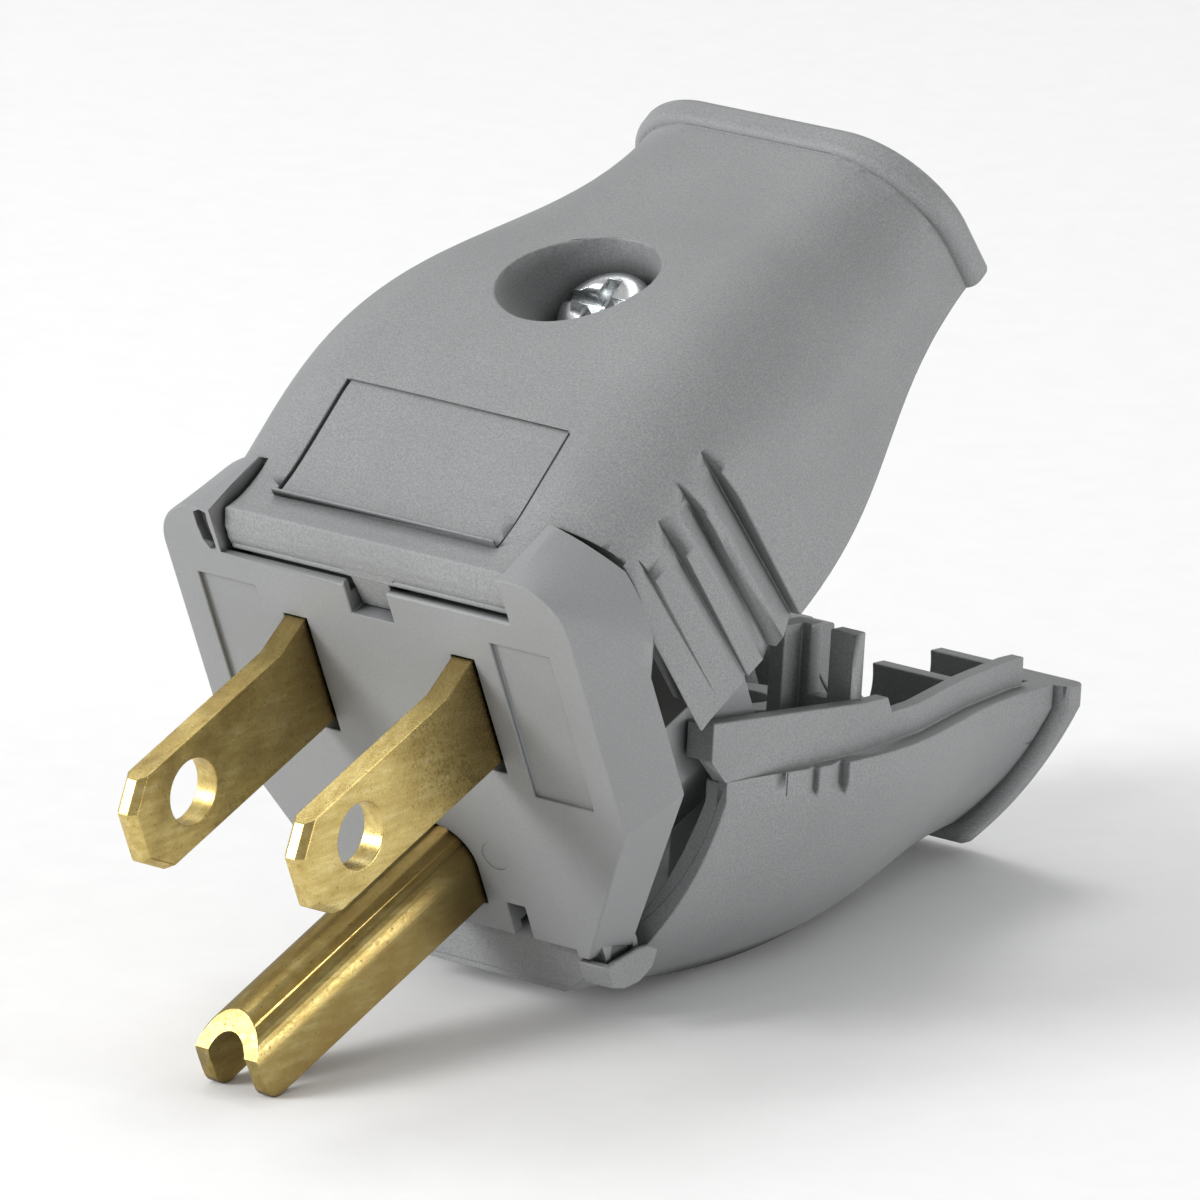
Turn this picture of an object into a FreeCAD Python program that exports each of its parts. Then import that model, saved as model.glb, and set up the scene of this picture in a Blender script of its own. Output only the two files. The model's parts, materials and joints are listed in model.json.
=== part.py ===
"""Grounded plug with two flat blades and a folded ground pin.

The body is a front block that carries the contacts, closed by an upper and a lower shell
that hinge on it. Both shells stand open. Millimetres; the plug's own frame has its contact
face at y = 0 with the blades towards -Y, X across the blades and Z up from the blades'
middle. Every sub-part is then placed as the plug lies on a table, on the ground pin's tip
and the heel of the lower shell, with +Z up and the origin under the middle of the whole.
"""
import FreeCAD, Part
import math
import os
import Sketcher
from FreeCAD import Placement, Rotation, Vector

# Driving dimensions: alias, value, meaning. Heights are from the blades' middle.
SIZES = (
    ("blade_gap", 12.7, "between the middles of the two flat blades"),
    ("blade_height", 6.35, "flat blade, measured up and down"),
    ("blade_thick", 1.52, "flat blade, thickness"),
    ("blade_reach", 17.0, "flat blade, out of the contact face"),
    ("blade_hole", 3.96, "hole near the blade's tip, diameter"),
    ("blade_hole_reach", 12.0, "hole's middle, out of the contact face"),
    ("blade_corner", 1.5, "chamfer of the blade's tip corners"),
    ("blade_coin", 0.4, "coined bevel round the blade's tip"),
    ("blade_root_rise", 0.8, "how far the blade's upper edge flares up at its root"),
    ("blade_root_run", 2.6, "length of that flare"),
    ("tail_reach", 10.6, "contacts, behind the contact face"),
    ("slot_gap", 0.09, "clearance of each blade in its slot"),
    ("slot_half_height", 4.05, "half the height of a blade's slot"),
    ("pin_drop", 11.89, "middle of the ground pin's crown below the blades"),
    ("pin_half", 2.4, "half the width of the ground pin"),
    ("pin_wall", 0.95, "sheet that the ground pin is folded from"),
    ("pin_leg", 2.55, "ground pin's legs below the middle of its crown"),
    ("pin_reach", 20.4, "ground pin, out of the contact face"),
    ("pin_crown_cut", 1.9, "chamfer of the crown at the pin's tip"),
    ("pin_leg_round", 1.1, "rounding of the pin's leg ends"),
    ("pin_slot_gap", 0.1, "clearance of the ground pin in its slot"),
    ("parting_drop", 5.7, "upper shell's lower edge below the blades"),
    ("seam_gap", 1.2, "open seam between the shells' edges when shut"),
    ("face_half", 15.3, "half width of the flat contact face"),
    ("face_top", 10.5, "top of the flat face on the ears"),
    ("face_round", 3.2, "corner radius of the flat face"),
    ("face_side_drop", 6.5, "where the face's lower corners start"),
    ("face_foot_half", 9.4, "half width of the face's foot"),
    ("face_foot_drop", 16.9, "foot of the face"),
    ("rim_depth", 2.9, "depth of the block's bevelled rim at the sides"),
    ("rim_half", 17.9, "half width of the rim"),
    ("rim_side_drop", 4.9, "where the rim's lower corners start"),
    ("rim_foot_half", 10.1, "half width of the rim's foot"),
    ("rim_foot_drop", 17.7, "foot of the rim"),
    ("ear_depth", 5.6, "depth of the rim at the ears' corners"),
    ("ear_top", 11.0, "top of the ears at their rear"),
    ("ear_inner", 11.3, "where the ears' rounded corners start, out from the middle"),
    ("ear_low", 0.6, "where the ears' rounded corners end"),
    ("ear_round", 16.6, "radius of the ears' corners"),
    ("ear_lean", 0.7, "how much less deep the ears are at their top"),
    ("ear_start", 3.3, "where the rim starts to run back behind the ears"),
    ("core_half", 12.8, "half width of the contact carrier behind the rim"),
    ("core_top", 6.3, "top of the contact carrier"),
    ("core_drop", 14.9, "underside of the contact carrier"),
    ("core_corner", 4.4, "chamfer of the carrier's lower corners"),
    ("core_reach", 15.0, "carrier, behind the contact face"),
    ("upper_hinge_y", 1.9, "upper shell's hinge behind the contact face"),
    ("upper_hinge_z", 8.3, "upper shell's hinge above the blades"),
    ("lower_hinge_y", 2.1, "lower shell's hinge behind the contact face"),
    ("lower_hinge_drop", 17.6, "lower shell's hinge below the blades"),
    ("upper_open", 12.5, "upper shell stands open by, degrees"),
    ("lower_open", 26.5, "lower shell stands open by, degrees"),
    ("trunnion_radius", 0.95, "hinge pins moulded on the shells"),
    ("trunnion_gap", 0.06, "radial clearance of a hinge pin"),
    ("trunnion_reach", 1.4, "hinge pins, out of the nose's sides"),
    ("hinge_gap", 0.25, "side clearance of a nose in the block"),
    ("knuckle_radius", 1.3, "round of the noses about the hinges"),
    ("lug_wall", 0.5, "block's foot lugs round the lower hinge pins"),
    ("upper_nose_half", 10.65, "half width of the upper shell's nose"),
    ("lower_nose_half", 8.4, "half width of the lower shell's nose"),
    ("nose_sill", 7.45, "block's edge under the upper nose"),
    ("nose_sill_thick", 0.55, "thickness of that edge"),
    ("nose_bed", 6.6, "floor of the recess behind that edge"),
    ("foot_sill", 16.4, "block's edge over the lower nose, below the blades"),
    ("foot_sill_thick", 0.8, "thickness of that edge"),
    ("foot_bed", 15.9, "floor of the recess behind that edge, below the blades"),
    ("wall", 1.8, "wall of the shells"),
    ("side_run", 1.4, "upright part of the lower shell's sides"),
    ("side_front", 5.1, "upper shell's front edge at its sides"),
    ("ear_front", 6.3, "upper shell's front edge behind the ears"),
    ("top_front", 5.3, "upper shell's front edge at its top"),
    ("lower_front", 4.6, "lower shell's front edge"),
    ("lip_inset", 1.15, "lower shell's lip, in from the outside"),
    ("lip_thick", 1.0, "thickness of the lip"),
    ("lip_rise", 3.7, "front end of the lip above the lower shell's edge"),
    ("lip_fall", 0.9, "how much the lip's front part falls towards the rear"),
    ("lip_rear_rise", 1.8, "rear part of the lip above that edge"),
    ("lip_step", 19.9, "place of the step in the lip"),
    ("lip_gap", 0.15, "clearance between the lip and the upper shell"),
    ("lip_front", 3.1, "front end of the lip"),
    ("lip_lead", 1.4, "chamfer under the lip's front end"),
    ("lip_return", 1.0, "return of the lip's front end towards the block"),
    ("lip_end", 38.4, "rear end of the lip"),
    ("flange_front", 40.2, "front of the flange round the cord's hole"),
    ("flange_back", 42.3, "back of that flange"),
    ("flange_round", 0.8, "rounding of the flange"),
    ("cord_hole", 5.6, "cord's hole, radius"),
    ("cord_hole_spread", 1.6, "cord's hole, flat between its two ends"),
    ("grip_pitch", 2.5, "between the grip ridges on the sides"),
    ("grip_start", 7.1, "first grip ridge, behind the contact face"),
    ("grip_depth", 0.7, "depth of the grip ridges"),
    ("grip_fade", 36.0, "turn round the shoulder at which the upper ridges end, degrees"),
    ("lower_grip_drop", 2.6, "height of the lower shell's grip ridges"),
    ("label_half", 8.3, "half width of the bare label frame on the top"),
    ("label_front", 3.5, "front of that frame"),
    ("label_back", 12.0, "back of that frame"),
    ("label_depth", 0.3, "depth of the label frames"),
    ("side_label_inner", 8.9, "inner edge of the label frames on the face"),
    ("side_label_outer", 13.3, "outer edge of those frames"),
    ("side_label_top", 5.6, "top of those frames"),
    ("side_label_drop", 5.3, "foot of those frames, below the blades"),
    ("notch_half", 1.6, "half width of the notch under the upper nose"),
    ("notch_floor", 5.3, "floor of that notch"),
    ("notch_depth", 1.3, "depth of that notch"),
    ("foot_slot_inner", 4.0, "inner edge of the two small slots in the foot"),
    ("foot_slot_outer", 5.4, "outer edge of those slots"),
    ("foot_slot_top", 14.1, "top of those slots, below the blades"),
    ("screw_y", 24.3, "clamp screw, behind the contact face"),
    ("screw_seat", 4.6, "underside of the clamp screw's head"),
    ("screw_head", 3.0, "clamp screw's head, radius"),
    ("screw_head_rise", 2.1, "clamp screw's head, height"),
    ("screw_shank", 1.75, "clamp screw's shank, radius"),
    ("screw_reach", 15.5, "clamp screw's shank, length"),
    ("screw_slot", 0.9, "width of the slot and cross in the head"),
    ("screw_slot_depth", 1.1, "depth of the slot and cross"),
    ("well_top", 5.2, "radius of the screw's well at its mouth"),
    ("well_mouth", 10.4, "height where the well has that radius"),
    ("well_foot", 3.35, "radius of the well at the screw's head"),
    ("well_wall", 1.3, "wall of the well"),
    ("well_floor", 1.6, "floor of the well under the screw's head"),
    ("screw_hole_gap", 0.15, "clearance of the shank in the upper shell"),
    ("thread_gap", 0.06, "clearance of the shank in the lower shell's post"),
    ("post_radius", 3.6, "lower shell's screw post, radius"),
    ("post_drop", 7.5, "top of that post below the blades"),
    ("divider_x", 9.1, "lower shell's upright dividers, out from the middle"),
    ("divider_thick", 1.1, "thickness of the dividers and ribs"),
    ("divider_rise", 6.9, "dividers above the lower shell's edge"),
    ("divider_y", 16.9, "cross walls at the dividers' rear ends"),
    ("wire_window", 1.4, "width of the wires' slots in the cross walls"),
    ("rib_rise", 1.5, "cord ribs above the lower shell's edge"),
    ("rib_first", 30.6, "first cord rib, behind the contact face"),
    ("rib_step", 5.6, "between the cord ribs"),
    ("rib_hollow", 5.0, "radius of the cord's hollow in the ribs"),
    ("tooth_rise", 4.5, "upper shell's cord ribs end above the parting plane"),
    ("terminal_y", 7.4, "terminal screws, behind the contact face"),
    ("terminal_head", 2.7, "terminal screw's head, radius"),
    ("terminal_head_rise", 1.4, "terminal screw's head, height"),
    ("terminal_shank", 1.45, "terminal screw's shank, radius"),
    ("terminal_slot", 0.8, "slot in the terminal screw's head"),
    ("terminal_end", 1.0, "terminal screw's end past a blade's tail"),
    ("terminal_run_out", 1.9, "relief for the ground screw's end above the ground pocket"),
    ("plate_thick", 0.9, "clamp plate, thickness"),
    ("plate_half", 2.9, "clamp plate, half its side"),
    ("pocket_half", 4.8, "half the height of the blades' wire pockets"),
    ("ground_pocket_half", 3.9, "half the width of the ground pocket"),
    ("pocket_front", 3.5, "front wall of the wire pockets behind the contact face"),
    ("shoulder", 0.45, "how far the contacts' shoulders stand out past their slots"),
    ("pocket_inner", 2.2, "pocket from the blade towards the middle"),
)

# The moulded skins' sections from front to rear. The rise is from the upper shell's edge to the
# top, the drop from the lower shell's edge to the bottom, and the bulge is of the lower sides.
STATION_NAMES = ("front", "shoulder", "slope", "throat", "neck", "end")
SECTION_KEYS = ("place", "half", "rise", "corner", "drop", "flat", "bulge")
SECTIONS = (
    (0.5, 16.2, 16.6, 7.0, 13.8, 6.4, 1.5),
    (17.0, 16.2, 16.6, 7.6, 14.2, 6.4, 1.5),
    (23.5, 15.2, 15.2, 7.6, 13.5, 6.0, 1.5),
    (31.0, 12.9, 12.2, 6.8, 11.8, 5.3, 1.1),
    (37.0, 11.6, 10.4, 6.6, 10.4, 4.7, 0.7),
    (42.3, 11.4, 9.6, 6.2, 10.0, 4.3, 0.6),
)

doc = FreeCAD.newDocument("plug")
sheet = doc.addObject("Spreadsheet::Sheet", "Sizes")
VALUES = {}
section_sizes = [("%s_%s" % (name, key), value, "section at the %s: %s" % (name, key))
                 for name, values in zip(STATION_NAMES, SECTIONS)
                 for key, value in zip(SECTION_KEYS, values)]
for row, (alias, value, meaning) in enumerate(list(SIZES) + section_sizes, start=1):
    sheet.set("A%d" % row, meaning)
    sheet.set("B%d" % row, str(value))
    sheet.setAlias("B%d" % row, alias)
    VALUES[alias] = value
doc.recompute()


class Size:
    """A number together with the sheet expression that gives it."""

    def __init__(self, text, value):
        self.text = text
        self.value = value

    def __add__(self, other):
        other = as_size(other)
        return Size("(%s + %s)" % (self.text, other.text), self.value + other.value)

    def __sub__(self, other):
        other = as_size(other)
        return Size("(%s - %s)" % (self.text, other.text), self.value - other.value)

    def __mul__(self, other):
        other = as_size(other)
        return Size("(%s * %s)" % (self.text, other.text), self.value * other.value)

    def __truediv__(self, other):
        other = as_size(other)
        return Size("(%s / %s)" % (self.text, other.text), self.value / other.value)

    def __neg__(self):
        return Size("(0 - %s)" % self.text, -self.value)

    def __float__(self):
        return float(self.value)


def as_size(number):
    """A plain number as a Size, and a Size as it is."""
    if isinstance(number, Size):
        return number
    return Size("%.6f" % number, float(number))


def size(alias):
    """The named driving dimension."""
    return Size("Sizes." + alias, VALUES[alias])


def bind(thing, prop, number):
    """Bind one property to its size."""
    thing.setExpression(prop, as_size(number).text)


# Simple bodies bound to the sheet

def box(name, x_range, y_range, z_range):
    """A block between two limits on each axis."""
    thing = doc.addObject("Part::Box", name)
    for prop, (low, high) in zip(("Length", "Width", "Height"), (x_range, y_range, z_range)):
        bind(thing, prop, as_size(high) - low)
    for axis, (low, high) in zip("xyz", (x_range, y_range, z_range)):
        bind(thing, "Placement.Base." + axis, low)
    return thing


TURNS = {"x": Rotation(Vector(0, 1, 0), 90), "y": Rotation(Vector(1, 0, 0), -90), "z": Rotation()}


def rod(name, along, start, radius, length):
    """A cylinder from its start point along one axis."""
    thing = doc.addObject("Part::Cylinder", name)
    thing.Placement = Placement(Vector(), TURNS[along])
    bind(thing, "Radius", radius)
    bind(thing, "Height", length)
    for axis, number in zip("xyz", start):
        bind(thing, "Placement.Base." + axis, number)
    return thing


def fuse(name, things):
    """One solid of several."""
    joined = doc.addObject("Part::MultiFuse", name)
    joined.Shapes = things
    joined.Refine = True
    return joined


def cut(name, base, tools):
    """The base without the tools."""
    tool = tools[0] if len(tools) == 1 else fuse(name + "_tools", tools)
    left = doc.addObject("Part::Cut", name)
    left.Base = base
    left.Tool = tool
    left.Refine = True
    return left


# Sketches

def draw_loop(sketch, points, arcs=None):
    """A closed outline through bound points, anticlockwise; arcs maps a side's index to its radius."""
    arcs = arcs or {}
    corners = [Vector(float(u), float(v), 0) for u, v in points]
    first = sketch.GeometryCount
    count = len(corners)
    for side, start in enumerate(corners):
        end = corners[(side + 1) % count]
        if side in arcs:
            sketch.addGeometry(arc_between(start, end, float(arcs[side])), False)
        else:
            sketch.addGeometry(Part.LineSegment(start, end), False)
    for side in range(count):
        after = first + (side + 1) % count
        sketch.addConstraint(Sketcher.Constraint("Coincident", first + side, 2, after, 1))
    for side, (u, v) in enumerate(points):
        hold(sketch, "DistanceX", first + side, u, -2)
        hold(sketch, "DistanceY", first + side, v, -1)
        if side in arcs:
            index = sketch.addConstraint(Sketcher.Constraint("Radius", first + side, float(arcs[side])))
            bind(sketch, "Constraints[%d]" % index, arcs[side])


def hold(sketch, kind, item, number, axis):
    """Tie one coordinate of a side's start point to its size."""
    if float(number) == 0.0:
        sketch.addConstraint(Sketcher.Constraint("PointOnObject", item, 1, axis))
        return
    index = sketch.addConstraint(Sketcher.Constraint(kind, -1, 1, item, 1, float(number)))
    bind(sketch, "Constraints[%d]" % index, number)


def arc_between(start, end, radius):
    """The convex arc of an anticlockwise outline from start to end."""
    middle = (start + end) * 0.5
    chord = end - start
    inward = Vector(-chord.y, chord.x, 0).normalize()
    centre = middle + inward * math.sqrt(max(radius ** 2 - chord.Length ** 2 / 4, 0.0))
    low = math.atan2(start.y - centre.y, start.x - centre.x)
    high = math.atan2(end.y - centre.y, end.x - centre.x)
    return Part.ArcOfCircle(Part.Circle(centre, Vector(0, 0, 1), radius), low, high)


UPRIGHT = Rotation(Vector(1, 0, 0), 90)
SIDEWAYS = Rotation(Vector(0, 1, 0), Vector(0, 0, 1), Vector(1, 0, 0), "ZXY")


def front_sketch(name, y, points, arcs=None):
    """An outline seen from the front (x, z), standing at y."""
    sketch = doc.addObject("Sketcher::SketchObject", name)
    sketch.Placement = Placement(Vector(), UPRIGHT)
    bind(sketch, "Placement.Base.y", y)
    draw_loop(sketch, points, arcs)
    return sketch


def body_sketch(body, name, role, points, arcs=None):
    """An outline on one of a body's own origin planes."""
    sketch = body.newObject("Sketcher::SketchObject", name)
    plane = [item for item in body.Origin.OriginFeatures if item.Role == role][0]
    sketch.AttachmentSupport = [(plane, "")]
    sketch.MapMode = "FlatFace"
    draw_loop(sketch, points, arcs)
    return sketch


def body_circle(body, name, role, centre, radius):
    """A circle on one of a body's own origin planes."""
    sketch = body_sketch(body, name, role, [])
    spot = Vector(float(centre[0]), float(centre[1]), 0)
    sketch.addGeometry(Part.Circle(spot, Vector(0, 0, 1), float(radius)), False)
    index = sketch.addConstraint(Sketcher.Constraint("Radius", 0, float(radius)))
    bind(sketch, "Constraints[%d]" % index, radius)
    for kind, number, axis in (("DistanceX", centre[0], -2), ("DistanceY", centre[1], -1)):
        if float(number) == 0.0:
            sketch.addConstraint(Sketcher.Constraint("PointOnObject", 0, 3, axis))
        else:
            index = sketch.addConstraint(Sketcher.Constraint(kind, -1, 1, 0, 3, float(number)))
            bind(sketch, "Constraints[%d]" % index, number)
    return sketch


def pad(body, name, sketch, length, midplane=False, backward=False):
    """Thicken an outline."""
    feature = body.newObject("PartDesign::Pad", name)
    feature.Profile = sketch
    feature.Midplane = midplane
    feature.Reversed = backward
    bind(feature, "Length", length)
    return feature


def pocket(body, name, sketch):
    """Cut an outline through the body, both ways."""
    feature = body.newObject("PartDesign::Pocket", name)
    feature.Profile = sketch
    feature.Type = 1
    feature.Midplane = True
    return feature


# Heights and places shared by several pieces
parting = -size("parting_drop")
blade_x = size("blade_gap") / 2
pin_z = -size("pin_drop")
blade_half = size("blade_height") / 2
blade_half_thick = size("blade_thick") / 2
pin_inner = size("pin_half") - size("pin_wall")
lower_hinge_z = -size("lower_hinge_drop")


def flat_blade(name):
    """A flat blade with its hole, chamfered tip, flared root and terminal tail."""
    body = doc.addObject("PartDesign::Body", name)
    reach = size("blade_reach")
    corner = size("blade_corner")
    flare_top = blade_half + size("blade_root_rise")
    shoulder = size("slot_half_height") + size("shoulder")
    seat = size("pocket_front")
    profile = [
        (corner - reach, -blade_half),
        (seat, -blade_half),
        (seat, -shoulder),
        (size("tail_reach"), -shoulder),
        (size("tail_reach"), shoulder),
        (seat, shoulder),
        (seat, flare_top),
        (as_size(0), flare_top),
        (as_size(0) - size("blade_root_run"), blade_half),
        (corner - reach, blade_half),
        (-reach, blade_half - corner),
        (-reach, corner - blade_half),
    ]
    pad(body, name + "_sheet", body_sketch(body, name + "_profile", "YZ_Plane", profile),
        size("blade_thick"), midplane=True)
    tip_hole = body_circle(body, name + "_hole_sketch", "YZ_Plane",
                           (-size("blade_hole_reach"), 0), size("blade_hole") / 2)
    pocket(body, name + "_hole", tip_hole)
    thread = body_circle(body, name + "_thread_sketch", "YZ_Plane",
                         (size("terminal_y"), 0), size("terminal_shank") + size("thread_gap"))
    pocket(body, name + "_thread", thread)
    doc.recompute()
    plain = body.Tip
    bevel = body.newObject("PartDesign::Chamfer", name + "_coin")
    bevel.Base = (plain, tip_edges(plain.Shape))
    bind(bevel, "Size", size("blade_coin"))
    return body


def tip_edges(shape):
    """The long edges round a blade's tip, on both of its flat sides."""
    names = []
    limit = VALUES["blade_corner"] - VALUES["blade_reach"] + 0.01
    for number, edge in enumerate(shape.Edges, start=1):
        ends = [vertex.Point for vertex in edge.Vertexes]
        if len(ends) == 2 and max(point.y for point in ends) < limit:
            if abs(ends[0].x - ends[1].x) < 0.01:
                names.append("Edge%d" % number)
    return names


def ground_pin():
    """The ground pin: a sheet folded to an upside-down U, with a flat tail."""
    body = doc.addObject("PartDesign::Body", "ground_pin")
    outer = size("pin_half")
    leg = -size("pin_leg")
    section = [
        (-outer, 0), (-outer, leg), (-pin_inner, leg), (-pin_inner, 0),
        (pin_inner, 0), (pin_inner, leg), (outer, leg), (outer, 0),
    ]
    channel = body_sketch(body, "pin_section", "XZ_Plane", [])
    draw_channel(channel, section, outer, pin_inner)
    pad(body, "pin_channel", channel, size("pin_reach"))
    root = body_sketch(body, "pin_root_section", "XZ_Plane", [])
    draw_channel(root, section, outer, pin_inner)
    pad(body, "pin_root", root, size("pocket_front"), backward=True)
    wing = outer + size("pin_slot_gap") + size("shoulder")
    tail = body_sketch(body, "pin_tail_outline", "XY_Plane", [
        (-wing, size("pocket_front")), (wing, size("pocket_front")),
        (wing, size("tail_reach")), (-wing, size("tail_reach"))])
    bind(tail, "AttachmentOffset.Base.z", pin_inner)
    pad(body, "pin_tail", tail, size("pin_wall"))
    tip = body_sketch(body, "pin_tip_profile", "YZ_Plane", [
        (-size("pin_reach") - 1, outer - size("pin_crown_cut") - 1),
        (size("pin_crown_cut") - size("pin_reach") + 1, outer + 1),
        (-size("pin_reach") - 1, outer + 1)])
    pocket(body, "pin_tip", tip)
    thread = body_circle(body, "pin_thread_sketch", "XY_Plane",
                         (0, size("terminal_y")), size("terminal_shank") + size("thread_gap"))
    pocket(body, "pin_thread", thread)
    doc.recompute()
    plain = body.Tip
    rounding = body.newObject("PartDesign::Fillet", "pin_leg_ends")
    rounding.Base = (plain, leg_edges(plain.Shape))
    bind(rounding, "Radius", size("pin_leg_round"))
    return body


def draw_channel(sketch, section, outer, inner):
    """The folded section: the legs as lines, the crown as two half circles."""
    crown_end = 7
    hollow = 3
    corners = [Vector(float(u), float(v), 0) for u, v in section]
    for side, start in enumerate(corners):
        end = corners[(side + 1) % len(corners)]
        if side == crown_end:
            half = Part.Circle(Vector(), Vector(0, 0, 1), float(outer))
            sketch.addGeometry(Part.ArcOfCircle(half, 0, math.pi), False)
        elif side == hollow:
            half = Part.Circle(Vector(), Vector(0, 0, 1), float(inner))
            sketch.addGeometry(Part.ArcOfCircle(half, 0, math.pi), False)
        else:
            sketch.addGeometry(Part.LineSegment(start, end), False)
    # The inner half circle runs the other way round, so its ends change places.
    ends = {side: (1, 2) for side in range(len(corners))}
    ends[hollow] = (2, 1)
    for side in range(len(corners)):
        after = (side + 1) % len(corners)
        joint = Sketcher.Constraint("Coincident", side, ends[side][1], after, ends[after][0])
        sketch.addConstraint(joint)
    for side in (crown_end, hollow):
        sketch.addConstraint(Sketcher.Constraint("Coincident", side, 3, -1, 1))
    for side, radius in ((crown_end, outer), (hollow, inner)):
        index = sketch.addConstraint(Sketcher.Constraint("Radius", side, float(radius)))
        bind(sketch, "Constraints[%d]" % index, radius)
        sketch.addConstraint(Sketcher.Constraint("PointOnObject", side, 1, -1))
        sketch.addConstraint(Sketcher.Constraint("PointOnObject", side, 2, -1))
    for side in (0, 2, 4, 6):
        sketch.addConstraint(Sketcher.Constraint("Vertical", side))
    for side in (1, 5):
        sketch.addConstraint(Sketcher.Constraint("Horizontal", side))
        index = sketch.addConstraint(Sketcher.Constraint("DistanceY", -1, 1, side, 1,
                                                         float(section[side][1])))
        bind(sketch, "Constraints[%d]" % index, section[side][1])


def leg_edges(shape):
    """The lower corner edges at the legs' tips."""
    names = []
    low = -VALUES["pin_leg"] + 0.01
    for number, edge in enumerate(shape.Edges, start=1):
        ends = [vertex.Point for vertex in edge.Vertexes]
        across = len(ends) == 2 and abs(ends[0].x - ends[1].x) > 0.1
        if across and max(point.z for point in ends) < low:
            if max(point.y for point in ends) < 0.01 - VALUES["pin_reach"]:
                names.append("Edge%d" % number)
    return names


# Terminals: each screw pulls a square plate against its contact's tail

def terminal_screw(name):
    """A slotted binding screw along +Z, the head's underside at z = 0 and the head above."""
    head = rod(name + "_head", "z", (0, 0, 0), size("terminal_head"), size("terminal_head_rise"))
    reach = size("plate_thick") + size("blade_thick") + size("terminal_end")
    shank = rod(name + "_shank", "z", (0, 0, -reach), size("terminal_shank"), reach)
    slot = box(name + "_slot", (-size("terminal_head"), size("terminal_head")),
               (-size("terminal_slot") / 2, size("terminal_slot") / 2),
               (size("terminal_head_rise") / 2, size("terminal_head_rise")))
    return cut(name, fuse(name + "_turned", [head, shank]), [slot])


def clamp_plate(name):
    """A square clamp plate under a screw's head, its top at z = 0."""
    half = size("plate_half")
    sheet_metal = box(name + "_sheet", (-half, half), (-half, half), (-size("plate_thick"), 0))
    hole = rod(name + "_hole", "z", (0, 0, -size("plate_thick")),
               size("terminal_shank") + size("screw_hole_gap"), size("plate_thick"))
    return cut(name, sheet_metal, [hole])


# Front block

def shield(half, top, corner_in, corner_low, side, foot_half, foot):
    """The shield outline of the face or of the bevel's rear, anticlockwise from its foot."""
    return [
        (-foot_half, -foot), (foot_half, -foot), (half, -side), (half, corner_low),
        (corner_in, top), (-corner_in, top), (-half, corner_low), (-half, -side),
    ]


def bevelled_plate():
    """The shield-shaped plate: its bevel runs on past the sides, where it is trimmed."""
    round_face = size("face_round")
    face = shield(size("face_half"), size("face_top"), size("face_half") - round_face,
                  size("face_top") - round_face, size("face_side_drop"), size("face_foot_half"),
                  size("face_foot_drop"))
    growth = size("ear_depth") / size("rim_depth")
    rear = shield(size("face_half") + (size("rim_half") - size("face_half")) * growth,
                  size("ear_top"), size("ear_inner"), size("ear_low"),
                  size("face_side_drop") + (size("rim_side_drop") - size("face_side_drop")) * growth,
                  size("face_foot_half") + (size("rim_foot_half") - size("face_foot_half")) * growth,
                  size("face_foot_drop") + (size("rim_foot_drop") - size("face_foot_drop")) * growth)
    bevel = doc.addObject("Part::Loft", "plate_bevel")
    bevel.Sections = [front_sketch("face_outline", 0, face, {3: round_face, 5: round_face}),
                      front_sketch("rim_outline", size("ear_depth"), rear,
                                   {3: size("ear_round"), 5: size("ear_round")})]
    bevel.Solid = True
    bevel.Ruled = True
    side_profile = doc.addObject("Sketcher::SketchObject", "plate_side_profile")
    side_profile.Placement = Placement(Vector(), SIDEWAYS)
    bind(side_profile, "Placement.Base.x", -size("rim_half"))
    draw_loop(side_profile, [
        (as_size(0) - 1, -size("rim_foot_drop") - 2), (size("rim_depth"), -size("rim_foot_drop") - 2),
        (size("rim_depth"), size("ear_start")), (size("ear_depth"), size("upper_hinge_z")),
        (size("ear_depth") - size("ear_lean"), size("ear_top") + 1), (as_size(0) - 1, size("ear_top") + 1)])
    trim = doc.addObject("Part::Extrusion", "plate_trim")
    trim.Base = side_profile
    trim.DirMode = "Normal"
    trim.Solid = True
    bind(trim, "LengthFwd", size("rim_half") * 2)
    plate = doc.addObject("Part::MultiCommon", "block_plate")
    plate.Shapes = [bevel, trim]
    return plate


def front_block():
    """The block that carries the contacts: bevelled rim, ears, wire pockets and hinge seats."""
    plate = bevelled_plate()
    half = size("core_half")
    corner = size("core_corner")
    core_sketch = front_sketch("core_outline", size("core_reach"), [
        (corner - half, -size("core_drop")), (half - corner, -size("core_drop")),
        (half, corner * 1.4 - size("core_drop")), (half, size("core_top")),
        (-half, size("core_top")), (-half, corner * 1.4 - size("core_drop"))])
    core = doc.addObject("Part::Extrusion", "block_core")
    core.Base = core_sketch
    core.DirMode = "Normal"
    core.Solid = True
    bind(core, "LengthFwd", size("core_reach") - size("rim_depth") / 2)
    lugs = []
    for side in (-1, 1):
        inner = size("lower_nose_half") + size("hinge_gap")
        start = inner if side > 0 else -inner - size("trunnion_reach")
        lugs.append(rod("foot_lug", "x", (start, size("lower_hinge_y"), lower_hinge_z),
                        size("trunnion_radius") + size("lug_wall"), size("trunnion_reach")))
        lugs.append(box("foot_lug_root", (start, start + size("trunnion_reach")),
                        (size("rim_depth") / 4, size("rim_depth")),
                        (lower_hinge_z, -size("foot_bed"))))
    solid = fuse("block_solid", [plate, core] + lugs)
    return cut("front_block", solid, block_openings())


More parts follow.
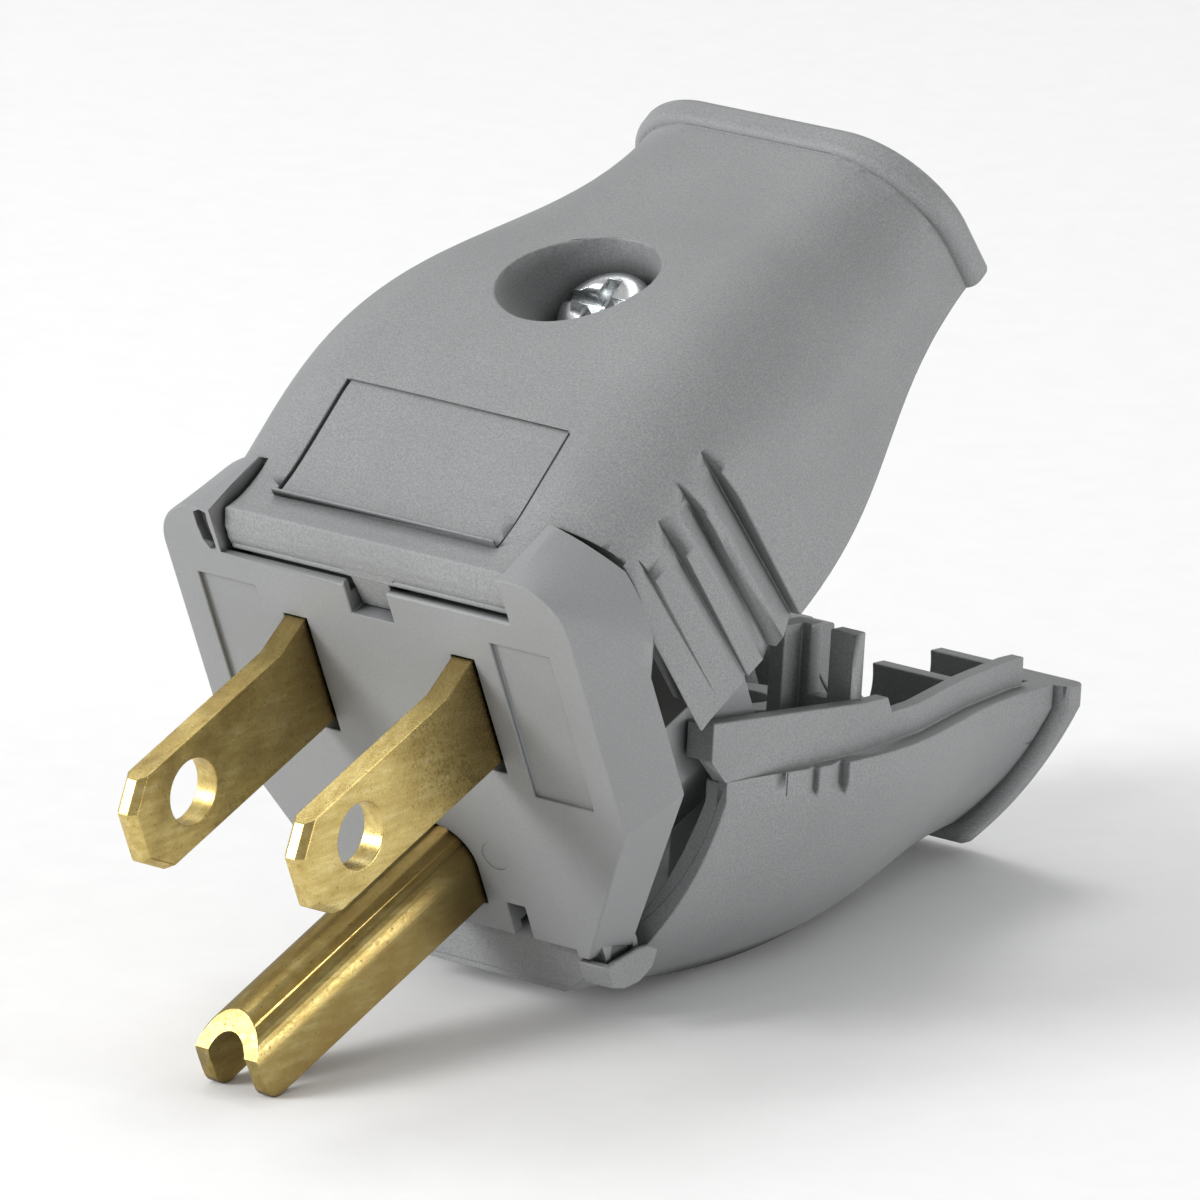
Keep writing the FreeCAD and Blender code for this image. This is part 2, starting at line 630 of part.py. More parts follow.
def block_openings():
    """Everything that is cut out of the front block."""
    tools = []
    far = size("core_reach") + 1
    upper_slot = size("upper_nose_half") + size("hinge_gap")
    tools.append(box("upper_nose_slot", (-upper_slot, upper_slot), (-1, far),
                     (size("nose_sill"), size("ear_top") + 2)))
    tools.append(box("upper_nose_bed", (-upper_slot, upper_slot), (size("nose_sill_thick"), far),
                     (size("nose_bed"), size("nose_sill"))))
    lower_slot = size("lower_nose_half") + size("hinge_gap")
    below = -size("rim_foot_drop") - 2
    tools.append(box("lower_nose_slot", (-lower_slot, lower_slot), (-1, far),
                     (below, -size("foot_sill"))))
    tools.append(box("lower_nose_bed", (-lower_slot, lower_slot), (size("foot_sill_thick"), far),
                     (-size("foot_sill"), -size("foot_bed"))))
    for side in (-1, 1):
        tools += side_openings(side, upper_slot, lower_slot)
    tools.append(box("notch", (-size("notch_half"), size("notch_half")), (-1, size("notch_depth")),
                     (size("notch_floor"), size("nose_sill"))))
    tools += pin_openings()
    return tools


def side_openings(side, upper_slot, lower_slot):
    """Blade slot, wire pocket, hinge seats, label frame and foot slot of one side."""
    tools = []
    middle = blade_x * side
    slot_half = blade_half_thick + size("slot_gap")
    tools.append(box("blade_slot", (middle - slot_half, middle + slot_half), (-1, size("pocket_front") + 0.5),
                     (-size("slot_half_height"), size("slot_half_height"))))
    inner = (blade_x - size("pocket_inner")) * side
    outer = (size("core_half") + 1) * side
    low, high = (inner, outer) if side > 0 else (outer, inner)
    tools.append(box("wire_pocket", (low, high), (size("pocket_front"), size("core_reach") + 1),
                     (-size("pocket_half"), size("pocket_half"))))
    reach = size("trunnion_reach") + size("trunnion_gap")
    radius = size("trunnion_radius") + size("trunnion_gap")
    start = upper_slot if side > 0 else -upper_slot - reach
    tools.append(rod("ear_seat", "x", (start, size("upper_hinge_y"), size("upper_hinge_z")), radius, reach))
    start = lower_slot if side > 0 else -lower_slot - reach
    tools.append(rod("foot_seat", "x", (start, size("lower_hinge_y"), lower_hinge_z), radius, reach))
    edges = (size("side_label_inner") * side, size("side_label_outer") * side)
    low, high = edges if side > 0 else edges[::-1]
    tools.append(box("face_label", (low, high), (-1, size("label_depth")),
                     (-size("side_label_drop"), size("side_label_top"))))
    edges = (size("foot_slot_inner") * side, size("foot_slot_outer") * side)
    low, high = edges if side > 0 else edges[::-1]
    tools.append(box("foot_slot", (low, high), (-1, size("rim_depth")),
                     (-size("foot_sill") - 1, -size("foot_slot_top"))))
    return tools


def pin_openings():
    """The ground pin's slot and the wire pocket behind it."""
    gap = size("pin_slot_gap")
    outer = size("pin_half") + gap
    leg_low = pin_z - size("pin_leg") - gap
    crown = rod("pin_slot_crown", "y", (0, -1, pin_z), outer, size("pocket_front") + 1)
    legs = box("pin_slot_legs", (-outer, outer), (-1, size("pocket_front") + 0.5), (leg_low, pin_z))
    pocket_low = -size("core_drop") - 1
    wire = box("ground_pocket", (-size("ground_pocket_half"), size("ground_pocket_half")),
               (size("pocket_front"), size("core_reach") + 1), (pocket_low, pin_z + outer))
    relief = rod("ground_screw_relief", "z", (0, size("terminal_y"), pin_z),
                 size("terminal_shank") + size("screw_hole_gap"), size("pin_half") + size("terminal_run_out"))
    return [crown, legs, wire, relief]


# Shells. Their moulded skins are lofts through named stations from front to rear.

STATIONS = [[VALUES["%s_%s" % (name, key)] for key in SECTION_KEYS] for name in STATION_NAMES]
SIDE_RUN = VALUES["side_run"]


def lower_edge():
    """Height of the lower shell's edge, under the open seam."""
    return -VALUES["parting_drop"] - VALUES["seam_gap"]


def upper_section(y, half, rise, corner, inset):
    """The upper half of the skin's section, moved in by inset, closed on the parting plane."""
    z0 = -VALUES["parting_drop"]
    half -= inset
    top = z0 + rise - inset
    corner = max(corner - inset, 0.5)
    slant = corner * (1 - math.sqrt(0.5))
    left = Part.Arc(Vector(-half, y, top - corner), Vector(slant - half, y, top - slant),
                    Vector(corner - half, y, top))
    right = Part.Arc(Vector(half - corner, y, top), Vector(half - slant, y, top - slant),
                     Vector(half, y, top - corner))
    edges = [
        Part.LineSegment(Vector(-half, y, z0), Vector(-half, y, top - corner)), left,
        Part.LineSegment(Vector(corner - half, y, top), Vector(half - corner, y, top)), right,
        Part.LineSegment(Vector(half, y, top - corner), Vector(half, y, z0)),
        Part.LineSegment(Vector(half, y, z0), Vector(-half, y, z0)),
    ]
    return Part.Wire([edge.toShape() for edge in edges])


def lower_section(y, half, drop, flat, bulge, inset):
    """The lower half of the skin's section, whose sides lean in towards its flat bottom."""
    z0 = lower_edge()
    half -= inset
    flat -= inset * 0.6
    low = z0 - drop + inset
    knee = z0 - SIDE_RUN
    chord = Vector(flat - half, 0, low - knee)
    outward = Vector(-chord.z, 0, chord.x).normalize()
    mid = Vector((half + flat) / 2, y, (knee + low) / 2) + outward * bulge
    right = Part.Arc(Vector(half, y, knee), mid, Vector(flat, y, low))
    left = Part.Arc(Vector(-flat, y, low), Vector(-mid.x, y, mid.z), Vector(-half, y, knee))
    edges = [
        Part.LineSegment(Vector(half, y, z0), Vector(half, y, knee)), right,
        Part.LineSegment(Vector(flat, y, low), Vector(-flat, y, low)), left,
        Part.LineSegment(Vector(-half, y, knee), Vector(-half, y, z0)),
        Part.LineSegment(Vector(-half, y, z0), Vector(half, y, z0)),
    ]
    return Part.Wire([edge.toShape() for edge in edges])


def upper_skin(inset):
    """The upper half of the body as a full solid, smooth outside and straight between stations inside."""
    wires = [upper_section(y, half, rise, corner, inset)
             for y, half, rise, corner, drop, flat, bulge in STATIONS]
    return Part.makeLoft(wires, True, inset > 0)


def lower_skin(inset):
    """The lower half of the body as a full solid, smooth outside and straight between stations inside."""
    wires = [lower_section(y, half, drop, flat, bulge, inset)
             for y, half, rise, corner, drop, flat, bulge in STATIONS]
    return Part.makeLoft(wires, True, inset > 0)


def block_between(low, high):
    """A box between two corners."""
    spot = Vector(*low)
    extent = Vector(*high) - spot
    return Part.makeBox(extent.x, extent.y, extent.z, spot)


def flange(section, edge_z):
    """The rounded flange at the rear, thickened from a section wire."""
    depth = VALUES["flange_back"] - VALUES["flange_front"]
    solid = Part.Face(section).extrude(Vector(0, depth, 0))
    edges = []
    for edge in solid.Edges:
        extent = edge.BoundBox
        across = extent.YLength < 0.01 and extent.ZLength + extent.XLength > 0.5
        on_seam = max(abs(extent.ZMax - edge_z), abs(extent.ZMin - edge_z)) < 0.01
        if across and not on_seam:
            edges.append(edge)
    return solid.makeFillet(VALUES["flange_round"], edges)


def side_prism(points, x_low, x_high):
    """A profile seen from the side (y, z), thickened between two places across."""
    corners = [Vector(x_low, y, z) for y, z in points]
    return Part.Face(Part.makePolygon(corners + [corners[0]])).extrude(Vector(x_high - x_low, 0, 0))


def grips(side, levels):
    """Saw-tooth cuts for the grip ridges on one side; levels gives (height, root, crest) places."""
    pitch = VALUES["grip_pitch"]
    teeth = []
    for number in range(4):
        y = VALUES["grip_start"] + number * pitch
        wires = []
        for z, root, crest in levels:
            corners = [Vector(side * (crest + 2), y - pitch * 0.8, z), Vector(side * crest, y - pitch * 0.8, z),
                       Vector(side * root, y, z), Vector(side * (crest + 2), y, z)]
            wires.append(Part.makePolygon(corners + [corners[0]]))
        teeth.append(Part.makeLoft(wires, True, True))
    return teeth


def upper_grip_levels():
    """The grip cuts' places up the upper shell's side; their straight roots run out at the shoulder."""
    place, half, rise, corner = STATIONS[0][:4]
    edge = -VALUES["parting_drop"]
    centre = (half - corner, edge + rise - corner)
    fade = math.radians(VALUES["grip_fade"])
    low = half - VALUES["grip_depth"]
    lean = (centre[0] + corner * math.cos(fade) - low) / (centre[1] + corner * math.sin(fade) - edge)
    levels = [(edge - 1, low, half + 0.02)]
    for share in (0.0, 0.4, 0.7, 1.0):
        z = centre[1] + corner * math.sin(fade * share)
        levels.append((z, low + lean * (z - edge), centre[0] + corner * math.cos(fade * share)))
    return levels


def lower_grip_levels():
    """The grip cuts' places down the lower shell's side, fading out below."""
    half = STATIONS[0][1]
    depth = VALUES["grip_depth"]
    edge = lower_edge()
    foot = edge - VALUES["lower_grip_drop"]
    return [(foot, half, half + depth), (edge - VALUES["side_run"], half - depth, half + 0.02),
            (edge + 1, half - depth, half + 0.02)]


def cord_opening():
    """The cord's hole through the rear wall of both shells."""
    radius = VALUES["cord_hole"]
    spread = VALUES["cord_hole_spread"]
    z0 = cord_height()
    y0 = VALUES["lip_end"] - 1
    length = VALUES["flange_back"] + 1 - y0
    ends = [Part.makeCylinder(radius, length, Vector(x, y0, z0), Vector(0, 1, 0))
            for x in (-spread, spread)]
    middle = block_between((-spread, y0, z0 - radius), (spread, y0 + length, z0 + radius))
    return ends[0].fuse([ends[1], middle])


def cord_height():
    """Height of the cord's middle, halfway up the open seam."""
    return -VALUES["parting_drop"] - VALUES["seam_gap"] / 2


def nose(points, half, hinge):
    """A shell's nose between its hinge pins: a profile thickened across, with its knuckle."""
    knuckle = Part.makeCylinder(VALUES["knuckle_radius"], 2 * half, Vector(-half, *hinge),
                                Vector(1, 0, 0))
    reach = VALUES["trunnion_reach"]
    pins = Part.makeCylinder(VALUES["trunnion_radius"], 2 * (half + reach),
                             Vector(-half - reach, *hinge), Vector(1, 0, 0))
    return side_prism(points, -half, half).fuse([knuckle, pins])


def cord_rib(y, low, high, half):
    """A cross rib with the cord's hollow in its middle."""
    rib = block_between((-half, y, low), (half, y + VALUES["divider_thick"], high))
    hollow = Part.makeCylinder(VALUES["rib_hollow"], VALUES["divider_thick"] + 2,
                               Vector(0, y - 1, cord_height()), Vector(0, 1, 0))
    return rib.cut(hollow)


def screw_well(outer):
    """The clamp screw's well in the upper shell: the cup to add, the well and hole to cut."""
    seat = VALUES["screw_seat"]
    spot = Vector(0, VALUES["screw_y"], 0)
    floor = seat - VALUES["well_floor"]
    mouth = VALUES["well_mouth"]
    foot = VALUES["well_foot"]
    slope = (VALUES["well_top"] - foot) / (mouth - seat)
    thick = VALUES["well_wall"]
    cup = Part.makeCone(foot + thick - slope * VALUES["well_floor"], VALUES["well_top"] + thick,
                        mouth - floor, spot + Vector(0, 0, floor))
    well = Part.makeCone(foot, VALUES["well_top"] + slope * 2, mouth - seat + 2, spot + Vector(0, 0, seat))
    hole = Part.makeCylinder(VALUES["screw_shank"] + VALUES["screw_hole_gap"], 20,
                             spot + Vector(0, 0, floor - 5))
    return cup.common(outer), [well, hole]


def upper_shell():
    """The upper shell, closed: skin, nose, screw well, cord ribs, grip ridges and label frame."""
    z0 = -VALUES["parting_drop"]
    wall = VALUES["wall"]
    top = z0 + STATIONS[0][2]
    outer = upper_skin(0)
    hollow = upper_skin(wall).cut(block_between((-30, VALUES["flange_front"] - 0.4, z0 - 1), (30, 60, 30)))
    # The front edge leans back behind the block's ears.
    front = side_prism([(-5, z0 - 1), (VALUES["side_front"], z0 - 1),
                        (VALUES["side_front"], VALUES["ear_start"] - 0.3),
                        (VALUES["ear_front"], VALUES["upper_hinge_z"] - 0.5),
                        (VALUES["top_front"], top + 1), (-5, top + 1)], -30, 30)
    shell = outer.cut(hollow).cut(front)
    end = STATIONS[-1]
    rim = flange(upper_section(VALUES["flange_front"], end[1] + 0.6, end[2] + 0.7, end[3] + 0.4, 0), z0)
    y, z = VALUES["upper_hinge_y"], VALUES["upper_hinge_z"]
    rear = VALUES["ear_front"] + 0.6
    profile = [(rear, top - wall), (rear, top), (y + 0.5, top), (y - 0.25, top - 0.4), (y - 1.1, top - 1.6),
               (y - 1.3, z - 0.28), (y - 0.8, z - 0.8), (y + 0.6, z - 0.9)]
    over = block_between((-30, -5, z + 1), (30, rear + 1, 30)).cut(outer)
    shell = shell.fuse([rim, nose(profile, VALUES["upper_nose_half"], (y, z)).cut(over)])
    gap = VALUES["lip_gap"]
    lip_top = lower_edge() + VALUES["lip_rise"] + gap
    rebate = upper_skin(VALUES["lip_inset"] - gap).common(
        block_between((-30, 0, z0 - 1), (30, VALUES["lip_end"] + gap, lip_top)))
    cup, holes = screw_well(outer)
    ribs = []
    for number in range(2):
        y = VALUES["rib_first"] + (number - 0.5) * VALUES["rib_step"]
        ribs.append(cord_rib(y, z0 + VALUES["tooth_rise"], 30, 30).common(hollow))
    half = VALUES["label_half"]
    label = block_between((-half, VALUES["label_front"], top - VALUES["label_depth"]),
                          (half, VALUES["label_back"], top + 1))
    teeth = []
    for side in (-1, 1):
        teeth += grips(side, upper_grip_levels())
    shell = shell.cut(rebate).fuse([cup] + ribs)
    return shell.cut(holes + [cord_opening(), label] + teeth).removeSplitter()


def lip():
    """The lower shell's lip, which stands inside the upper shell: two lengths with a step."""
    edge = lower_edge()
    inset = VALUES["lip_inset"]
    band = upper_skin(inset).cut(upper_skin(inset + VALUES["lip_thick"]))
    front_top = edge + VALUES["lip_rise"]
    rear_top = edge + VALUES["lip_rear_rise"]
    step = VALUES["lip_step"]
    height = side_prism([(VALUES["lip_front"] + VALUES["lip_lead"], edge), (VALUES["lip_end"], edge),
                         (VALUES["lip_end"], rear_top),
                         (step + 0.6, rear_top), (step, front_top - VALUES["lip_fall"]),
                         (VALUES["lip_front"], front_top), (VALUES["lip_front"], edge + VALUES["lip_lead"])],
                        -30, 30)
    seam = VALUES["seam_gap"]
    foot = upper_section_prism(inset, edge, seam)
    return band.fuse(foot).common(height)


def upper_section_prism(inset, low, height):
    """The ring under the lip, from the lower shell's edge up to the upper shell's edge."""
    outer = upper_skin(inset)
    ring = outer.cut(upper_skin(inset + VALUES["lip_thick"]))
    z0 = -VALUES["parting_drop"]
    slice_low = ring.common(block_between((-30, -5, z0), (30, 60, z0 + 0.5)))
    bottom = [face for face in slice_low.Faces if abs(face.BoundBox.ZMax - z0) < 0.01]
    drops = [face.extrude(Vector(0, 0, -height)) for face in bottom]
    return drops[0].fuse(drops[1:]) if len(drops) > 1 else drops[0]


def lip_returns():
    """The short returns of the lip's front ends towards the block."""
    front = VALUES["lip_front"]
    edge = lower_edge()
    outer = section_half(front) - VALUES["lip_inset"] - VALUES["lip_thick"] / 2
    inner = outer - VALUES["lip_thick"] / 2 - VALUES["lip_return"]
    low = edge + VALUES["lip_lead"]
    high = edge + VALUES["lip_rise"] - VALUES["lip_gap"]
    thick = VALUES["lip_thick"]
    return [block_between((min(side * inner, side * outer), front, low),
                          (max(side * inner, side * outer), front + thick, high)) for side in (-1, 1)]


def screw_post(hollow):
    """The post that takes the clamp screw, and the bore to cut in it."""
    spot = Vector(0, VALUES["screw_y"], 0)
    top = -VALUES["post_drop"]
    low = VALUES["screw_seat"] - VALUES["screw_reach"] - 1
    post = Part.makeCylinder(VALUES["post_radius"], top + 40, spot + Vector(0, 0, -40)).common(hollow)
    bore = Part.makeCylinder(VALUES["screw_shank"] + VALUES["thread_gap"], top + 1 - low,
                             spot + Vector(0, 0, low))
    return post, bore


def dividers(side, hollow):
    """The upright walls that keep the wires apart behind the block, on one side."""
    edge = lower_edge()
    thick = VALUES["divider_thick"]
    top = edge + VALUES["divider_rise"]
    x_in = VALUES["divider_x"]
    y_back = VALUES["divider_y"]
    y_front = VALUES["core_reach"] + 0.3
    reach = section_half(y_back + thick) - VALUES["wall"] - VALUES["lip_gap"]
    parts = []
    for x_far, y_low, y_high in ((reach, y_back, y_back + thick), (x_in + thick, y_front, y_back)):
        low, high = sorted((side * x_in, side * x_far))
        parts.append(block_between((low, y_low, edge), (high, y_high, top)))
        parts.append(block_between((low, y_low, -40), (high, y_high, edge)).common(hollow))
    middle = side * (x_in + reach) / 2
    half = VALUES["wire_window"] / 2
    window = block_between((middle - half, y_back - 1, edge + VALUES["lip_rise"] - 1),
                           (middle + half, y_back + thick + 1, top + 1))
    return parts, window


def lower_shell():
    """The lower shell, closed: skin, lip, nose, screw post, dividers, cord ribs and grip ridges."""
    edge = lower_edge()
    wall = VALUES["wall"]
    bottom = edge - STATIONS[0][4]
    outer = lower_skin(0)
    hollow = lower_skin(wall).cut(block_between((-30, VALUES["flange_front"] - 0.4, -60), (30, 60, 30)))
    y, z = VALUES["lower_hinge_y"], -VALUES["lower_hinge_drop"]
    front = VALUES["lower_front"]
    # The chin runs on forward under the block's foot lugs.
    chin_top = z - VALUES["trunnion_radius"] - VALUES["lug_wall"] - VALUES["hinge_gap"]
    chin_half = VALUES["lower_nose_half"] + VALUES["trunnion_reach"]
    chin_box = block_between((-chin_half, y - 0.6, -40), (chin_half, front, chin_top))
    chin = outer.common(chin_box)
    shell = outer.cut(hollow).cut(block_between((-30, -5, -40), (30, front, edge + 1)))
    end = STATIONS[-1]
    rim = flange(lower_section(VALUES["flange_front"], end[1] + 0.9, end[4] + 1.3, end[5] + 0.5, end[6], 0),
                 edge)
    rear = front + 0.4
    profile = [(rear, bottom), (rear, bottom + wall), (y + 1.2, z - 0.2), (y - 1.15, z + 0.4),
               (y - 1.25, z - 0.5), (y - 0.75, bottom + 0.45), (y + 0.2, bottom)]
    post, bore = screw_post(hollow)
    under = block_between((-30, -5, -40), (30, rear + 1, z - VALUES["knuckle_radius"])).cut(outer)
    parts = [chin, rim, nose(profile, VALUES["lower_nose_half"], (y, z)).cut(under), lip(), post]
    parts += lip_returns()
    cuts = [bore, cord_opening()]
    for side in (-1, 1):
        walls, window = dividers(side, hollow)
        parts += walls
        cuts.append(window)
        cuts += grips(side, lower_grip_levels())
    for number in range(2):
        y = VALUES["rib_first"] + number * VALUES["rib_step"]
        half = section_half(y) - wall
        parts.append(cord_rib(y, edge, edge + VALUES["rib_rise"], half))
        parts.append(cord_rib(y, -40, edge, 30).common(hollow))
    return shell.fuse(parts).cut(cuts).removeSplitter()


def section_half(y):
    """Half the body's width at a place between two stations."""
    for before, after in zip(STATIONS, STATIONS[1:]):
        if before[0] <= y <= after[0]:
            share = (y - before[0]) / (after[0] - before[0])
            return before[1] + share * (after[1] - before[1])
    return STATIONS[-1][1]


def clamp_screw():
    """The clamp screw, its head's underside at z = 0: domed head with a slot and a cross."""
    head = doc.addObject("Part::Cylinder", "clamp_screw_head")
    bind(head, "Radius", size("screw_head"))
    bind(head, "Height", size("screw_head_rise"))
    doc.recompute()
    dome = doc.addObject("Part::Fillet", "clamp_screw_dome")
    dome.Base = head
    dome.Edges = [(number, 1.2, 1.2) for number, edge in enumerate(head.Shape.Edges, start=1)
                  if edge.BoundBox.ZMin > VALUES["screw_head_rise"] - 0.01 and edge.BoundBox.ZLength < 0.01]
    shank = rod("clamp_screw_shank", "z", (0, 0, -size("screw_reach")), size("screw_shank"),
                size("screw_reach"))
    half = size("screw_slot") / 2
    depth = (size("screw_head_rise") - size("screw_slot_depth"), size("screw_head_rise") + 1)
    slot = box("clamp_screw_slot", (-size("screw_head") - 1, size("screw_head") + 1), (-half, half), depth)
    cross = box("clamp_screw_cross", (-half, half), (-size("screw_head") * 0.6, size("screw_head") * 0.6),
                depth)
    return cut("clamp_screw", fuse("clamp_screw_turned", [dome, shank]), [slot, cross])


# Assembly: each piece's place in the plug's own frame, then the plug as it lies

pieces = {}
places = {}


def keep(node, thing, place):
    """Name a finished sub-part and note its place in the plug's frame."""
    thing.Label = node
    pieces[node] = thing
    places[node] = place


def about(hinge_y, hinge_z, degrees):
    """A turn about a hinge that runs across the plug."""
    return Placement(Vector(), Rotation(Vector(1, 0, 0), degrees), Vector(0, hinge_y, hinge_z))


upper_turn = about(VALUES["upper_hinge_y"], VALUES["upper_hinge_z"], VALUES["upper_open"])
lower_turn = about(VALUES["lower_hinge_y"], -VALUES["lower_hinge_drop"], -VALUES["lower_open"])

keep("front_block", front_block(), Placement())
for node, side in (("neutral_blade", -1), ("line_blade", 1)):
    keep(node, flat_blade(node), Placement(Vector(side * float(blade_x), 0, 0), Rotation()))
keep("ground_pin", ground_pin(), Placement(Vector(0, 0, float(pin_z)), Rotation()))
keep("clamp_screw", clamp_screw(),
     upper_turn * Placement(Vector(0, VALUES["screw_y"], VALUES["screw_seat"]), Rotation()))

stack = float(blade_half_thick + size("plate_thick"))
for node, side in (("neutral", -1), ("line", 1)):
    outward = Rotation(Vector(0, 1, 0), 90 * side)
    spot = Placement(Vector(side * (float(blade_x) + stack), VALUES["terminal_y"], 0), outward)
    keep(node + "_screw", terminal_screw(node + "_screw"), spot)
    keep(node + "_clamp", clamp_plate(node + "_clamp"), spot)
down = Rotation(Vector(1, 0, 0), 180)
spot = Placement(Vector(0, VALUES["terminal_y"], float(pin_z + pin_inner - size("plate_thick"))), down)
keep("ground_screw", terminal_screw("ground_screw"), spot)
keep("ground_clamp", clamp_plate("ground_clamp"), spot)
for node, shape, turn in (("upper_shell", upper_shell(), upper_turn),
                          ("lower_shell", lower_shell(), lower_turn)):
    thing = doc.addObject("Part::Feature", node + "_moulding")
    thing.Shape = shape
    keep(node, thing, turn)

doc.recompute()


def surface_points(node):
    """Points on a piece's surface, in the plug's frame."""
    points = pieces[node].Shape.tessellate(0.02)[0]
    return [places[node].multVec(point) for point in points]


def rest_turn():
    """The tilt at which the ground pin's tip and the lower shell's heel stand equally low."""
    pin = surface_points("ground_pin")
    heel = surface_points("lower_shell")
    low, high = 0.0, 45.0
    for step in range(24):
        middle = (low + high) / 2
        turn = Placement(Vector(), Rotation(Vector(1, 0, 0), middle))
        if min(turn.multVec(point).z for point in pin) > min(turn.multVec(point).z for point in heel):
            low = middle
        else:
            high = middle
    return Placement(Vector(), Rotation(Vector(1, 0, 0), (low + high) / 2))


tilt = rest_turn()
bounds = FreeCAD.BoundBox()
for node, thing in pieces.items():
    shape = thing.Shape.copy()
    shape.Placement = tilt * places[node]
    bounds.add(shape.optimalBoundingBox(False, False))
stand = Placement(Vector(-bounds.Center.x, -bounds.Center.y, -bounds.ZMin), Rotation()) * tilt
for node, thing in pieces.items():
    thing.Placement = stand * places[node]
doc.recompute()

faults = [item.Name for item in doc.Objects if "Invalid" in item.State or "Error" in item.State]
for node, thing in pieces.items():
    shape = thing.Shape
    if shape.isNull() or not shape.isValid() or len(shape.Solids) != 1:
        faults.append("%s (%d solids)" % (node, len(shape.Solids)))
if faults:
    raise SystemExit("not built: " + ", ".join(faults))

os.makedirs("parts", exist_ok=True)
for node, thing in pieces.items():
    thing.Shape.exportStep("parts/%s.step" % node)
print("stand", stand.Base, stand.Rotation.getYawPitchRoll())
print("upper hinge", stand.multVec(Vector(0, VALUES["upper_hinge_y"], VALUES["upper_hinge_z"])))
print("lower hinge", stand.multVec(Vector(0, VALUES["lower_hinge_y"], -VALUES["lower_hinge_drop"])))
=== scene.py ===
"""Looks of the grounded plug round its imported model: rounded mouldings, finishes and light."""

import json
import math

import bmesh
import bpy
from mathutils import Euler, Matrix, Vector
from mathutils.bvhtree import BVHTree
from mathutils.kdtree import KDTree


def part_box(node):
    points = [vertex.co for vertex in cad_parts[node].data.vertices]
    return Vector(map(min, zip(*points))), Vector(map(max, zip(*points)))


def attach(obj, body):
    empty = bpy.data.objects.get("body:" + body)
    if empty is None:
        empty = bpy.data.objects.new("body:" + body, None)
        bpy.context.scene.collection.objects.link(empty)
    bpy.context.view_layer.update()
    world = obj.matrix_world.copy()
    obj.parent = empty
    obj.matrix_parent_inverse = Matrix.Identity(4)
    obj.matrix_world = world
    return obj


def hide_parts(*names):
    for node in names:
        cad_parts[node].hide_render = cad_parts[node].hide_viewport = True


MM = 0.001

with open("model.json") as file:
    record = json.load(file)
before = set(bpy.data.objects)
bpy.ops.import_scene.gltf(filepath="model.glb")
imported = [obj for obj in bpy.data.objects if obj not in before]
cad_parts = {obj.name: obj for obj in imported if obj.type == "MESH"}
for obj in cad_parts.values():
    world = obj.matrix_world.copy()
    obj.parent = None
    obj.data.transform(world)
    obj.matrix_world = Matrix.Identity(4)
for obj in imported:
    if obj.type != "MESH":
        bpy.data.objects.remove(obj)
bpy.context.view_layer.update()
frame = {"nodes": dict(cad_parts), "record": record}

# The plug's own frame is in mm: x right, y back from the contact face, z up.
# TILT and STAND lay it down at rest. Each shell has its hinge (y, z) and the angle in
# degrees that it stands open by.
TILT = math.radians(21.2795077)
STAND = Vector((0, -16.4510808, 20.5350319))
UPPER = (1.9, 8.3, 12.5)
LOWER = (2.1, -17.6, -26.5)


def at_rest(point, hinge=None):
    """A point of the closed plug, in its own mm, where it lies at rest, in metres."""
    spot = Vector(point)
    if hinge:
        pin = Vector((0, hinge[0], hinge[1]))
        spot = Matrix.Rotation(math.radians(hinge[2]), 3, "X") @ (spot - pin) + pin
    return (Matrix.Rotation(TILT, 3, "X") @ spot + STAND) * MM


def in_plug(spot):
    """A place in metres, in the plug's own frame and mm."""
    return Matrix.Rotation(-TILT, 3, "X") @ (spot / MM - STAND)


# Materials: all are made of nodes, in the part's own coordinates

# The colour sockets of a mix node
FIRST, SECOND, BLEND = 6, 7, 2


def start_material(name):
    """An empty node material: the material, its tree, its shader and the object's coordinates."""
    made = bpy.data.materials.new(name)
    made.use_nodes = True
    tree = made.node_tree
    shader = tree.nodes["Principled BSDF"]
    coords = tree.nodes.new("ShaderNodeTexCoord").outputs["Object"]
    return made, tree, shader, coords


def noise(tree, coords, grain_mm, detail=3.0, roughness=0.55, stretch=None):
    """A noise whose features measure about grain_mm, stretched by three factors if given."""
    if stretch:
        mapping = tree.nodes.new("ShaderNodeMapping")
        mapping.inputs["Scale"].default_value = stretch
        tree.links.new(coords, mapping.inputs["Vector"])
        coords = mapping.outputs["Vector"]
    node = tree.nodes.new("ShaderNodeTexNoise")
    node.inputs["Scale"].default_value = 1 / (grain_mm * MM)
    node.inputs["Detail"].default_value = detail
    node.inputs["Roughness"].default_value = roughness
    tree.links.new(coords, node.inputs["Vector"])
    return node.outputs["Fac"]


def ramp(tree, value, stops):
    """Colours or greys by value: stops are (place, colour)."""
    node = tree.nodes.new("ShaderNodeValToRGB")
    points = node.color_ramp.elements
    while len(points) < len(stops):
        points.new(0.5)
    for point, (place, colour) in zip(points, stops):
        shade = colour if isinstance(colour, tuple) else (colour, colour, colour)
        point.position = place
        point.color = (*shade, 1.0)
    tree.links.new(value, node.inputs["Fac"])
    return node.outputs["Color"]


def mixed(tree, share, first, second):
    """The first colour where share is 0, the second where it is 1."""
    node = tree.nodes.new("ShaderNodeMix")
    node.data_type = "RGBA"
    tree.links.new(share, node.inputs["Factor"])
    for colour, socket in ((first, node.inputs[FIRST]), (second, node.inputs[SECOND])):
        if isinstance(colour, tuple):
            socket.default_value = (*colour, 1.0)
        else:
            tree.links.new(colour, socket)
    return node.outputs[BLEND]


